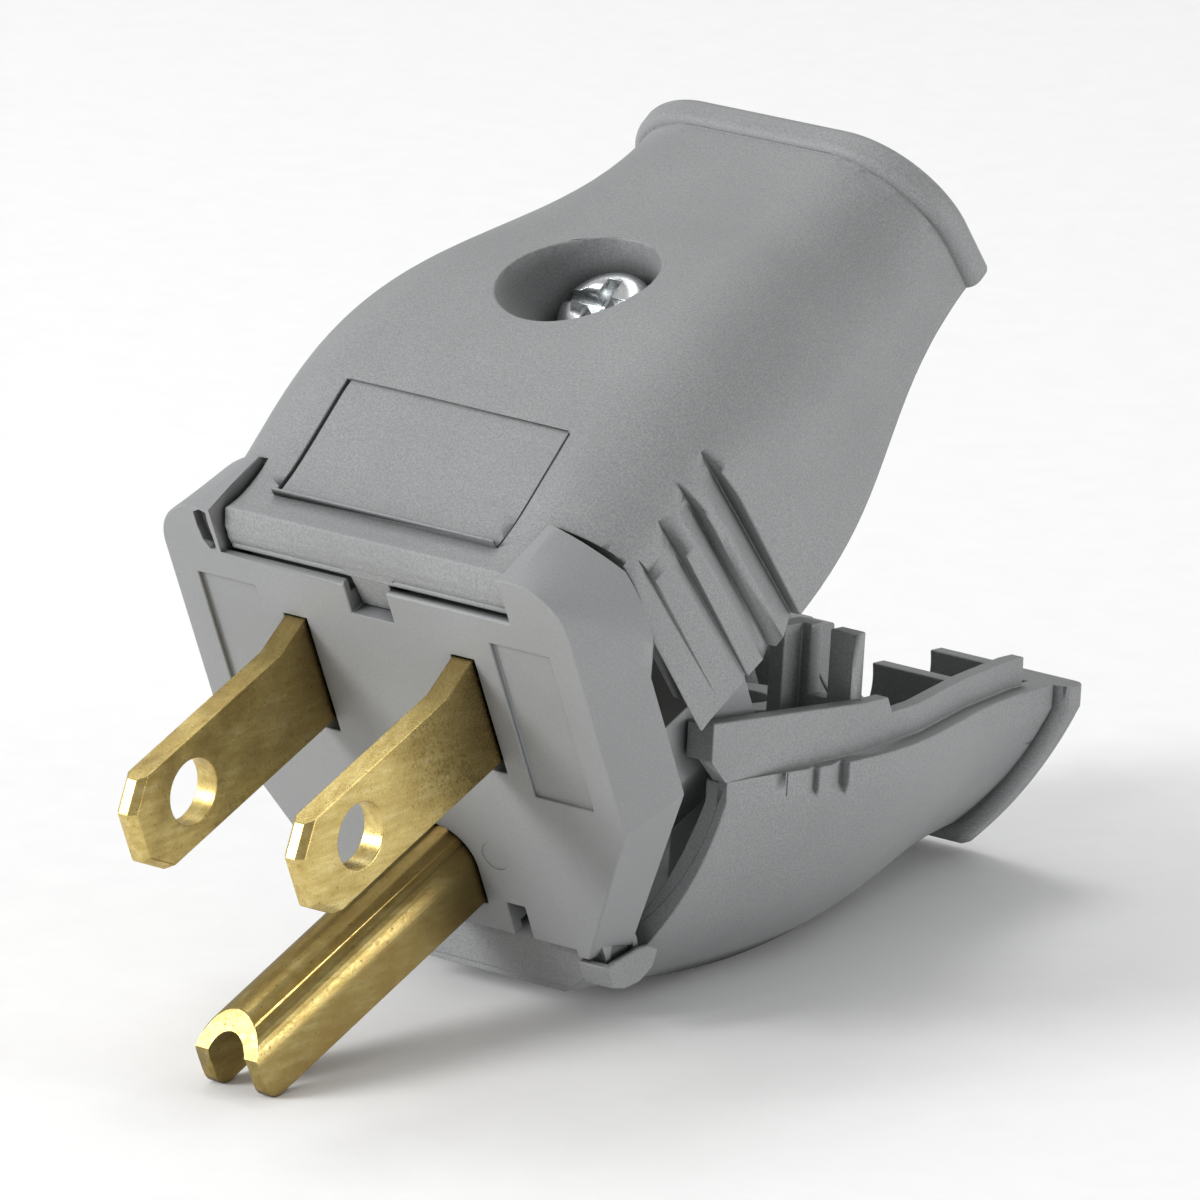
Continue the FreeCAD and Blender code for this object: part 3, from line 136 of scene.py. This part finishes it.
def bump(tree, shader, height, depth_mm, strength):
    """Relief too fine for the mesh, such as a mould's spark texture."""
    node = tree.nodes.new("ShaderNodeBump")
    node.inputs["Distance"].default_value = depth_mm * MM
    node.inputs["Strength"].default_value = strength
    tree.links.new(height, node.inputs["Height"])
    tree.links.new(node.outputs["Normal"], shader.inputs["Normal"])


# Painted shade in grooves and gaps: its samples, the occlusion at which it is darkest, and where
# it ends
NOOK_SAMPLES = 6
NOOK_DEEP = 0.25
NOOK_OPEN = 0.8


def painted_crevice_shade(tree, colour, reach_mm, darkest):
    """The colour with painted shade: darker in grooves and gaps about as deep as the reach."""
    nook = tree.nodes.new("ShaderNodeAmbientOcclusion")
    nook.samples = NOOK_SAMPLES
    nook.inputs["Distance"].default_value = reach_mm * MM
    node = tree.nodes.new("ShaderNodeMix")
    node.data_type = "RGBA"
    node.blend_type = "MULTIPLY"
    node.inputs["Factor"].default_value = 1.0
    tree.links.new(colour, node.inputs[FIRST])
    shade = ramp(tree, nook.outputs["AO"], [(NOOK_DEEP, darkest), (NOOK_OPEN, 1.0)])
    tree.links.new(shade, node.inputs[SECOND])
    return node.outputs[BLEND]


# Grain and clouds of the plastic and the reach of its painted shade in grooves in mm, then the
# shades
PLASTIC_GRAIN = 0.13
PLASTIC_CLOUD = 9.0
PLASTIC_NOOK = 1.6
NOOK_SHADE = 0.22
CLOUD_SHADE = 0.93
CLOUD_STOPS = [(0.4, 0.0), (0.75, 0.35)]
PLASTIC_ROUGHNESS = [(0.3, 0.44), (0.7, 0.6)]
PLASTIC_SHEEN = 0.45


def moulded_plastic(name, light, dark, relief_mm):
    """Matte grey thermoplastic with a spark-eroded mould's grain."""
    made, tree, shader, coords = start_material(name)
    grain = noise(tree, coords, PLASTIC_GRAIN, roughness=0.7)
    cloud = noise(tree, coords, PLASTIC_CLOUD, detail=2.0)
    speckled = ramp(tree, grain, [(0.32, dark), (0.68, light)])
    shade = tuple(channel * CLOUD_SHADE for channel in dark)
    clouded = mixed(tree, ramp(tree, cloud, CLOUD_STOPS), speckled, shade)
    # Painted shade darkens the plastic in its grooves and gaps.
    with_painted_shade = painted_crevice_shade(tree, clouded, PLASTIC_NOOK, NOOK_SHADE)
    tree.links.new(with_painted_shade, shader.inputs["Base Color"])
    tree.links.new(ramp(tree, grain, PLASTIC_ROUGHNESS), shader.inputs["Roughness"])
    shader.inputs["Specular IOR Level"].default_value = PLASTIC_SHEEN
    bump(tree, shader, grain, relief_mm, strength=0.5)
    return made


# How far the blades stand out of the contact face, in mm
BLADE_REACH = 17.5


def along_blades(tree, coords):
    """0 at the contact face to 1 at the blades' tips."""
    forward = Vector((0, -math.cos(TILT), -math.sin(TILT)))
    node = tree.nodes.new("ShaderNodeVectorMath")
    node.operation = "DOT_PRODUCT"
    tree.links.new(coords, node.inputs[0])
    node.inputs[1].default_value = forward
    reach = tree.nodes.new("ShaderNodeMapRange")
    tree.links.new(node.outputs["Value"], reach.inputs["Value"])
    start = at_rest((0, 0, 0)).dot(forward)
    reach.inputs["From Min"].default_value = start
    reach.inputs["From Max"].default_value = start + BLADE_REACH * MM
    return reach.outputs["Result"]


# Streaks, specks and stains of the brass and the reach of its painted shade in grooves in mm,
# then its shades and how much rougher its specks are. METAL_RELIEF, in mm, is for the screws too.
BRASS_STREAK = 0.5
BRASS_SPECK = 0.24
BRASS_STAIN = 3.6
BRASS_NOOK = 0.8
BRASS_NOOK_SHADE = 0.25
ALONG_ROLLING = (1.0, 0.16, 1.0)
BRASS_TONES = [(0.25, (0.50, 0.36, 0.11)),
               (0.55, (0.70, 0.55, 0.21)),
               (0.8, (0.86, 0.74, 0.38))]
TARNISHED = (0.30, 0.20, 0.065)
ROOT_BROWN = (0.24, 0.165, 0.06)
ROOT_STOPS = [(0.02, 0.75), (0.22, 0.35), (0.5, 0.0)]
SPECK_BROWN = (0.11, 0.075, 0.03)
SPECK_STOPS = [(0.60, 0.0), (0.68, 0.8)]
SPECK_ROUGHNESS = 0.22
METAL_RELIEF = 0.02


def stamped_brass(name, tarnish, shine, depth=1.0):
    """Brass sheet: streaked along the rolling, browner and more specked towards the root."""
    made, tree, shader, coords = start_material(name)
    streaks = noise(tree, coords, BRASS_STREAK, detail=5.0, roughness=0.65,
                    stretch=ALONG_ROLLING)
    specks = noise(tree, coords, BRASS_SPECK, detail=5.0, roughness=0.75)
    stains = noise(tree, coords, BRASS_STAIN, detail=5.0, roughness=0.65)
    reach = along_blades(tree, coords)
    tones = [(place, tuple(channel * depth for channel in tone)) for place, tone in BRASS_TONES]
    metal = ramp(tree, streaks, tones)
    aged = mixed(tree, ramp(tree, stains, [(0.40, 0.0), (0.68, tarnish)]), metal, TARNISHED)
    rooted = mixed(tree, ramp(tree, reach, ROOT_STOPS), aged, ROOT_BROWN)
    spotted = mixed(tree, ramp(tree, specks, SPECK_STOPS), rooted, SPECK_BROWN)
    # Painted shade darkens the brass in its grooves and gaps.
    with_painted_shade = painted_crevice_shade(tree, spotted, BRASS_NOOK, BRASS_NOOK_SHADE)
    tree.links.new(with_painted_shade, shader.inputs["Base Color"])
    gloss = ramp(tree, specks, [(0.35, shine), (0.7, shine + SPECK_ROUGHNESS)])
    tree.links.new(gloss, shader.inputs["Roughness"])
    shader.inputs["Metallic"].default_value = 1.0
    bump(tree, shader, specks, METAL_RELIEF, strength=0.3)
    return made


# The plating's spots in mm, and how much rougher the deep ones are
PLATING_SPOT = 0.6
SPOT_ROUGHNESS = 0.14


def plated_metal(name, pale, deep, shine):
    """Plated or dyed metal of a turned screw, slightly uneven."""
    made, tree, shader, coords = start_material(name)
    spots = noise(tree, coords, PLATING_SPOT, detail=4.0, roughness=0.6)
    tree.links.new(ramp(tree, spots, [(0.3, deep), (0.7, pale)]), shader.inputs["Base Color"])
    gloss = ramp(tree, spots, [(0.3, shine + SPOT_ROUGHNESS), (0.7, shine)])
    tree.links.new(gloss, shader.inputs["Roughness"])
    shader.inputs["Metallic"].default_value = 1.0
    bump(tree, shader, spots, METAL_RELIEF, strength=0.25)
    return made


PAPER_FIBRE = 3.0
PAPER_SHADES = [(0.3, 0.95), (0.7, 0.98)]


def floor_finish(name):
    """Pale studio paper, a little uneven."""
    made, tree, shader, coords = start_material(name)
    fibres = noise(tree, coords, PAPER_FIBRE, detail=4.0)
    tree.links.new(ramp(tree, fibres, PAPER_SHADES), shader.inputs["Base Color"])
    shader.inputs["Roughness"].default_value = 0.9
    shader.inputs["Specular IOR Level"].default_value = 0.1
    return made


FINISHES = {
    "housing": moulded_plastic("grey_plastic", (0.315, 0.323, 0.325), (0.20, 0.207, 0.21),
                               relief_mm=0.05),
    "contact_brass": stamped_brass("worn_brass", tarnish=0.75, shine=0.24),
    "plated_steel": plated_metal("zinc_plate", (0.72, 0.74, 0.74), (0.42, 0.44, 0.45),
                                 shine=0.22),
    "brass_screw": plated_metal("screw_brass", (0.75, 0.6, 0.3), (0.5, 0.38, 0.17),
                                shine=0.25),
    "green_screw": plated_metal("screw_green", (0.08, 0.36, 0.15), (0.03, 0.18, 0.07),
                                shine=0.3),
}
# Nodes that look a little different from the rest of their slot
OWN_FINISH = {
    "front_block": moulded_plastic("smooth_plastic", (0.30, 0.308, 0.312), (0.25, 0.257, 0.26),
                                   relief_mm=0.012),
    "line_blade": stamped_brass("bright_brass", tarnish=0.35, shine=0.19),
    "ground_pin": stamped_brass("pin_brass", tarnish=0.85, shine=0.3, depth=0.58),
}


# Pieces: each visible node is stood for by a copy of it with rounded edges

SLOT_OF = {part["node"]: part["material_slot"] for part in frame["record"]["subparts"]}
BODY_OF = {node: body for body, nodes in frame["record"]["behaviour"]["bodies"].items()
           for node in nodes}
# How far each node's edges are rounded, in mm
ROUNDING = {
    "front_block": 0.11,
    "upper_shell": 0.12,
    "lower_shell": 0.11,
    "line_blade": 0.07,
    "neutral_blade": 0.07,
    "ground_pin": 0.09,
    "clamp_screw": 0.16,
}
# Edges sharper than SHARP are rounded, folds past CREASE stay crisp, and faces that turn
# by less than FLAT are one
SHARP = math.radians(28)
CREASE = math.radians(50)
FLAT = math.radians(0.6)
WELD = 0.002 * MM
# A full rounding needs faces ROOM times as wide, and one under LEAST_ROOM of it is left out.
# An edge that runs on in line, by the cosine IN_LINE, takes no room.
ROOM = 2.2
LEAST_ROOM = 0.3
IN_LINE = 0.94
# The block's sill under the nose, in the plug's mm: height, half length and rounding
SILL = 7.45
SILL_HALF = 10.95
SILL_ROUND = 0.5
NEAR = 0.03
# The steps of a rounding, more of them on the block for its sill
SEGMENTS = 2
BLOCK_SEGMENTS = 3


def on_sill(spot):
    """Whether a place in metres lies on the front edge of the block's sill."""
    place = in_plug(spot)
    return abs(place.y) < NEAR and abs(place.z - SILL) < NEAR and abs(place.x) < SILL_HALF


def wanted_width(node, edge):
    """How far an edge is rounded, in mm: the block's sill under the nose is the softest."""
    if node == "front_block" and all(on_sill(vertex.co) for vertex in edge.verts):
        return SILL_ROUND
    return ROUNDING[node]


def mark_edges(work, node, widest):
    """Weight each sharp edge by the room that the faces beside it leave for a rounding."""
    weights = work.edges.layers.float.new("bevel_weight_edge")
    for edge in work.edges:
        if len(edge.link_faces) != 2 or edge.calc_face_angle(0) < SHARP:
            continue
        width = wanted_width(node, edge) * MM
        room = 1.0
        line = (edge.verts[1].co - edge.verts[0].co).normalized()
        for vertex in edge.verts:
            for other in vertex.link_edges:
                reach = other.other_vert(vertex).co - vertex.co
                along = abs(reach.normalized().dot(line))
                if other is not edge and along < IN_LINE:
                    side = reach.length * math.sqrt(1 - along * along)
                    room = min(room, side / (ROOM * width))
        if room > LEAST_ROOM:
            edge[weights] = room * width / (widest * MM)


def ring_solid(name, rings, hinge=None):
    """A closed solid through rings of points, in the plug's mm."""
    count = len(rings[0])
    points = [at_rest(point, hinge) for ring in rings for point in ring]
    faces = [tuple(range(count)), tuple(range(len(points) - count, len(points)))]
    for start in range(0, len(points) - count, count):
        for corner in range(count):
            here, there = start + corner, start + (corner + 1) % count
            faces.append((here, there, there + count, here + count))
    mesh = bpy.data.meshes.new(name)
    mesh.from_pydata(points, [], faces)
    work = bmesh.new()
    work.from_mesh(mesh)
    bmesh.ops.recalc_face_normals(work, faces=work.faces)
    work.to_mesh(mesh)
    work.free()
    return bpy.data.objects.new(name, mesh)


def prism(outline, front, back):
    """A cutter between two depths y, whose outline is given as (x, z)."""
    return ring_solid("cutter", [[(x, y, z) for x, z in outline] for y in (front, back)])


GROOVE_STEPS = 12
# A height that is above the whole shell, and how far a cutter stands out of its surface
OVERHEAD = 40
STAND_OUT = 0.6


def groove(surface, start, end, width, depth):
    """A cutter for a groove in the upper shell's top, from one place (x, y) to another."""
    across = Vector((end[1] - start[1], start[0] - end[0])).normalized() * width / 2
    rings = []
    for step in range(GROOVE_STEPS + 1):
        x, y = Vector(start).lerp(Vector(end), step / GROOVE_STEPS)
        above = at_rest((x, y, OVERHEAD), UPPER)
        spot = surface.ray_cast(above, at_rest((x, y, 0), UPPER) - above)[0]
        z = OVERHEAD - (above - spot).length / MM
        rings.append([(x - across.x, y - across.y, z - depth),
                      (x + across.x, y + across.y, z - depth),
                      (x + across.x, y + across.y, z + STAND_OUT),
                      (x - across.x, y - across.y, z + STAND_OUT)])
    return ring_solid("cutter", rings, UPPER)


def shown_mesh(piece):
    """A new mesh of the piece as its modifiers leave it."""
    shown = bpy.context.evaluated_depsgraph_get()
    return bpy.data.meshes.new_from_object(piece.evaluated_get(shown))


def carved(piece, cutters):
    """The piece's mesh with the cutters taken out of it."""
    for cutter in cutters:
        bpy.context.scene.collection.objects.link(cutter)
        cut = piece.modifiers.new("cut", "BOOLEAN")
        cut.object = cutter
        cut.solver = "EXACT"
    mesh = shown_mesh(piece)
    piece.modifiers.clear()
    piece.data = mesh
    for cutter in cutters:
        bpy.data.objects.remove(cutter)
    return mesh


# The groove round the left ear's foot and the round mark on the face, as outlines (x, z)
EAR_GROOVE = [(-12.2, 10.1), (-12.2, 9.2), (-12.05, 8.2), (-11.65, 7.55), (-11.25, 7.7),
              (-11.2, 8.6), (-11.25, 9.7), (-11.2, 10.25), (-11.7, 10.4)]
EAR_GROOVE_DEPTH = 0.7
MARK_CENTRE = (4.2, -10.7)
MARK_RADIUS = 0.95
MARK_CORNERS = 28
MARK_DEPTH = 0.05
MARK_TURNS = [turn * math.pi / (MARK_CORNERS // 2) for turn in range(MARK_CORNERS)]
EJECTOR_MARK = [(MARK_CENTRE[0] + MARK_RADIUS * math.cos(turn),
                 MARK_CENTRE[1] + MARK_RADIUS * math.sin(turn)) for turn in MARK_TURNS]
BEFORE_FACE = -0.5
# The bare label field on the top: half width, front and back, and its grooves' widths and depths
LABEL_HALF = 8.42
LABEL_FRONT = 3.45
LABEL_BACK = 12.0
WIDE_GROOVE = (0.26, 0.34)
FINE_GROOVE = (0.14, 0.12)


def cutters_of(node, surface):
    """What is cut out of a node's copy: marks that are too fine for the solid."""
    if node == "front_block":
        return [prism(EAR_GROOVE, BEFORE_FACE, EAR_GROOVE_DEPTH),
                prism(EJECTOR_MARK, BEFORE_FACE, MARK_DEPTH)]
    if node == "upper_shell":
        left, left_back = (-LABEL_HALF, LABEL_FRONT), (-LABEL_HALF, LABEL_BACK)
        right, right_back = (LABEL_HALF, LABEL_FRONT), (LABEL_HALF, LABEL_BACK)
        return [groove(surface, left, left_back, *WIDE_GROOVE),
                groove(surface, right, right_back, *FINE_GROOVE),
                groove(surface, left, right, *FINE_GROOVE)]
    return []


def surface_of(work):
    """The surface as flat triangles, to find places on."""
    flat = work.copy()
    bmesh.ops.triangulate(flat, faces=flat.faces)
    found = BVHTree.FromBMesh(flat)
    flat.free()
    return found


def well_place():
    """The top of the clamp screw, in the middle of its well."""
    low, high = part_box("clamp_screw")
    return Vector(((low[0] + high[0]) / 2, (low[1] + high[1]) / 2, high[2]))


# The rim of the screw's well, within this many mm, keeps one even rounding.
WELL = well_place()
WELL_REACH = 9.0


def crossings(mesh):
    """The places outside the well where faces of a mesh run through each other."""
    work = bmesh.new()
    work.from_mesh(mesh)
    bmesh.ops.triangulate(work, faces=work.faces)
    work.faces.ensure_lookup_table()
    faces = BVHTree.FromBMesh(work)
    found = [work.faces[one].calc_center_median() for one, other in faces.overlap(faces)
             if not set(work.faces[one].verts) & set(work.faces[other].verts)]
    work.free()
    return [place for place in found if (place - WELL).length > WELL_REACH * MM]


# By how much crossing roundings are narrowed, each time that some still cross, how close
# in mm they are to a crossing, and how often an edge is tested for it
SHRINKS = (0.5, 0.5, 0.0)
CROSSING_REACH = 0.45
TEST_STEP = 0.4


def clean_rounding(piece):
    """The piece's rounded mesh, with narrower roundings where they would cross."""
    mesh = piece.data
    for shrink in SHRINKS:
        smooth = shown_mesh(piece)
        places = crossings(smooth)
        if not places:
            return smooth
        tree = KDTree(len(places))
        for number, place in enumerate(places):
            tree.insert(place, number)
        tree.balance()
        weights = mesh.attributes["bevel_weight_edge"].data
        for edge in mesh.edges:
            if weights[edge.index].value:
                start, end = (mesh.vertices[number].co for number in edge.vertices)
                steps = max(1, round((end - start).length / (TEST_STEP * MM)))
                tests = (start.lerp(end, step / steps) for step in range(steps + 1))
                if any(tree.find(place)[2] < CROSSING_REACH * MM for place in tests):
                    weights[edge.index].value *= shrink
        mesh.update()
        piece.update_tag()
        bpy.context.view_layer.update()
    return shown_mesh(piece)


def even_shading(piece):
    """Smooth shading that only the roundings turn: the flat faces keep their own normals."""
    for face in piece.data.polygons:
        face.use_smooth = True
    piece.data.set_sharp_from_angle(angle=CREASE)
    weighted = piece.modifiers.new("flat_faces", "WEIGHTED_NORMAL")
    weighted.weight = 100
    weighted.keep_sharp = True


# A rounded corner is astray if it lies off the surface by these shares of its node's own
# and widest rounding.
STRAY_OWN = 0.9
STRAY_WIDEST = 0.33


def rounded_copy(node, width_mm):
    """A copy of a node with its sharp edges rounded, which is shown in the node's place."""
    mesh = frame["nodes"][node].data.copy()
    piece = bpy.data.objects.new(node + "_finished", mesh)
    bpy.context.scene.collection.objects.link(piece)
    work = bmesh.new()
    work.from_mesh(mesh)
    bmesh.ops.remove_doubles(work, verts=work.verts, dist=WELD)
    surface = surface_of(work)
    cutters = cutters_of(node, surface)
    if cutters:
        work.to_mesh(mesh)
        mesh = carved(piece, cutters)
        work.clear()
        work.from_mesh(mesh)
        bmesh.ops.remove_doubles(work, verts=work.verts, dist=WELD)
        surface = surface_of(work)
    bmesh.ops.dissolve_limit(work, angle_limit=FLAT, verts=work.verts, edges=work.edges)
    widest = SILL_ROUND if node == "front_block" else width_mm
    mark_edges(work, node, widest)
    work.to_mesh(mesh)
    work.free()
    for face in mesh.polygons:
        face.use_smooth = True
    mesh.set_sharp_from_angle(angle=SHARP)
    metal = SLOT_OF[node] == "contact_brass"
    bevel = piece.modifiers.new("rounding", "BEVEL")
    bevel.harden_normals = metal
    bevel.width = widest * MM
    bevel.segments = BLOCK_SEGMENTS if node == "front_block" else SEGMENTS
    bevel.limit_method = "WEIGHT"
    bevel.use_clamp_overlap = False
    smooth = clean_rounding(piece)
    piece.modifiers.clear()
    piece.data = smooth
    low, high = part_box(node)
    astray = max(STRAY_OWN * width_mm, STRAY_WIDEST * widest) * MM
    for vertex in smooth.vertices:
        # A corner that the rounding threw clear of the moulding goes back onto it.
        spot, _, _, gap = surface.find_nearest(vertex.co)
        if gap > astray:
            vertex.co = spot
        vertex.co = [min(max(place, least), most)
                     for place, least, most in zip(vertex.co, low, high)]
    if not metal:
        even_shading(piece)
    return piece


for node, holder in frame["nodes"].items():
    finish = FINISHES[SLOT_OF[node]]
    if node not in ROUNDING:
        holder.data.materials.clear()
        holder.data.materials.append(finish)
        continue
    piece = rounded_copy(node, ROUNDING[node])
    piece.data.materials.clear()
    piece.data.materials.append(OWN_FINISH.get(node, finish))
    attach(piece, BODY_OF[node])
    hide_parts(node)


# Small mouldings that only the scene has

def moulding(name, rings, body, hinge=None, width_mm=0.06):
    """A rounded solid through rings of points, in the plug's mm, which rides on a body."""
    piece = ring_solid(name, rings, hinge)
    bpy.context.scene.collection.objects.link(piece)
    bevel = piece.modifiers.new("rounding", "BEVEL")
    bevel.width = width_mm * MM
    bevel.segments = SEGMENTS
    bevel.limit_method = "ANGLE"
    bevel.angle_limit = SHARP
    even_shading(piece)
    piece.data.materials.append(FINISHES["housing"])
    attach(piece, body)


# The nose's lower edge: its outline (y, z) and the places x that it runs through
LIP = [(0.72, 7.95), (0.6, 7.78), (0.58, 7.6), (0.68, 7.5), (1.25, 7.3), (1.3, 7.9)]
LIP_PLACES = (-10.45, -5, 0, 5, 10.45)
moulding("nose_edge", [[(x, y, z) for y, z in LIP] for x in LIP_PLACES], "upper_half")

# The key that fills the back of the notch: height z, half width, front and back
KEY = [(8.4, 2.3, 0.64, 1.0), (7.72, 1.75, 0.6, 1.1), (7.5, 1.45, 0.62, 1.15),
       (6.5, 1.45, 0.78, 1.2), (5.4, 1.45, 0.95, 1.25)]
moulding("nose_key", [[(-half, front, z), (half, front, z), (half, back, z), (-half, back, z)]
                      for z, half, front, back in KEY], "upper_half")

# The lower shell's front edge turns in: its outer and inner line (x, z), and where its
# front, its outside's back and its inside's back lie, and its rounding
EDGE_OUT = [(14.72, -6.95), (14.72, -8.3), (14.04, -10.22), (13.18, -12.14),
            (12.15, -14.0), (10.97, -15.76), (9.63, -17.42), (8.5, -18.8)]
EDGE_IN = [(13.45, -6.95), (13.45, -8.3), (12.85, -9.8), (12.05, -11.55),
           (11.1, -13.3), (9.97, -15.0), (8.7, -16.6), (7.6, -17.9)]
EDGE_FRONT = 4.64
EDGE_BACK_OUT = 5.7
EDGE_BACK_IN = 5.5
EDGE_ROUND = 0.1

# A cheek covers each of its hinge pins, and an apron the gap beside it: their outlines
# (y, z), the places x that they lie between, and their rounding
CHEEK = [(-0.05, -17.15), (1.5, -17.42), (2.9, -17.75), (3.7, -18.1), (4.3, -18.8),
         (3.5, -19.55), (2.2, -19.7), (0.9, -19.3), (-0.05, -18.6)]
CHEEK_PLACES = (10.32, 10.75)
APRON = [(-0.1, -17.12), (0.4, -17.16), (0.42, -19.0), (-0.05, -18.6)]
APRON_PLACES = (8.6, 10.6)
HINGE_ROUND = 0.12

for side, hand in ((-1, "left"), (1, "right")):
    edge = [[(side * out_x, EDGE_FRONT, out_z), (side * out_x, EDGE_BACK_OUT, out_z),
             (side * in_x, EDGE_BACK_IN, in_z), (side * in_x, EDGE_FRONT, in_z)]
            for (out_x, out_z), (in_x, in_z) in zip(EDGE_OUT, EDGE_IN)]
    moulding("lower_edge_" + hand, edge, "lower_half", LOWER, EDGE_ROUND)
    cheek = [[(side * x, y, z) for y, z in CHEEK] for x in CHEEK_PLACES]
    moulding("hinge_cheek_" + hand, cheek, "lower_half", width_mm=HINGE_ROUND)
    apron = [[(side * x, y, z) for y, z in APRON] for x in APRON_PLACES]
    moulding("hinge_apron_" + hand, apron, "lower_half", width_mm=HINGE_ROUND)


# Studio: floor, light and camera

# Half the floor's side, in metres
FLOOR_HALF = 3.0
# Soft boxes: name, place and size in mm, power in watts
LIGHTS = (
    ("key", (-330, -540, 280), 260, 3.5),
    ("fill", (500, 180, 20), 260, 2.0),
    ("overhead", (-200, 160, 560), 260, 0.8),
)
# The air's strength, the side that the screen stands on, and the stops by height and
# by nearness to the screen
AIR_STRENGTH = 0.64
SCREEN_SIDE = Vector((0.70, 0.05, 0.71))
AIR_BY_HEIGHT = [(0.0, 0.62), (0.5, 1.0)]
AIR_BY_SCREEN = [(0.6, 1.0), (0.85, 0.55)]
# The camera's place in mm, its turns in degrees, its lens and its sensor in mm, and how
# many metres it sees
CAMERA_PLACE = (432.414, -514.809, 225.521)
CAMERA_TURNS = (73.1847, -0.0131, 39.9267)
LENS = 360
SENSOR = 36
CLIP_END = 10


def floor():
    """A wide pale floor under the part."""
    corners = [(-FLOOR_HALF, -FLOOR_HALF, 0), (FLOOR_HALF, -FLOOR_HALF, 0),
               (FLOOR_HALF, FLOOR_HALF, 0), (-FLOOR_HALF, FLOOR_HALF, 0)]
    mesh = bpy.data.meshes.new("floor")
    mesh.from_pydata(corners, [], [(0, 1, 2, 3)])
    sheet = bpy.data.objects.new("floor", mesh)
    bpy.context.scene.collection.objects.link(sheet)
    mesh.materials.append(floor_finish("floor_paper"))


def soft_light(name, place_mm, size_mm, power):
    """A square soft box that faces the part."""
    lamp = bpy.data.lights.new(name, "AREA")
    lamp.size = size_mm * MM
    lamp.energy = power
    holder = bpy.data.objects.new(name, lamp)
    holder.location = Vector(place_mm) * MM
    holder.rotation_euler = (-holder.location).to_track_quat("-Z", "Y").to_euler()
    bpy.context.scene.collection.objects.link(holder)


def studio_air(strength):
    """Even white light from all round, dimmer low down and behind a screen at the right."""
    world = bpy.data.worlds.new("studio")
    bpy.context.scene.world = world
    world.use_nodes = True
    tree = world.node_tree
    coords = tree.nodes.new("ShaderNodeTexCoord").outputs["Generated"]
    split = tree.nodes.new("ShaderNodeSeparateXYZ")
    tree.links.new(coords, split.inputs["Vector"])
    height = ramp(tree, split.outputs["Z"], AIR_BY_HEIGHT)
    aim = tree.nodes.new("ShaderNodeVectorMath")
    aim.operation = "DOT_PRODUCT"
    tree.links.new(coords, aim.inputs[0])
    aim.inputs[1].default_value = SCREEN_SIDE
    screen = ramp(tree, aim.outputs["Value"], AIR_BY_SCREEN)
    back = tree.nodes["Background"]
    tree.links.new(mixed(tree, height, (0.0, 0.0, 0.0), screen), back.inputs["Color"])
    back.inputs["Strength"].default_value = strength


def camera():
    """The photograph's long lens, looking along the blades from the front right."""
    lens = bpy.data.cameras.new("camera")
    lens.lens = LENS
    lens.sensor_width = SENSOR
    lens.clip_end = CLIP_END
    holder = bpy.data.objects.new("camera", lens)
    holder.location = Vector(CAMERA_PLACE) * MM
    holder.rotation_euler = Euler([math.radians(turn) for turn in CAMERA_TURNS])
    bpy.context.scene.collection.objects.link(holder)
    bpy.context.scene.camera = holder


bpy.context.scene.view_settings.view_transform = "Standard"
floor()
studio_air(AIR_STRENGTH)
for light in LIGHTS:
    soft_light(*light)
camera()
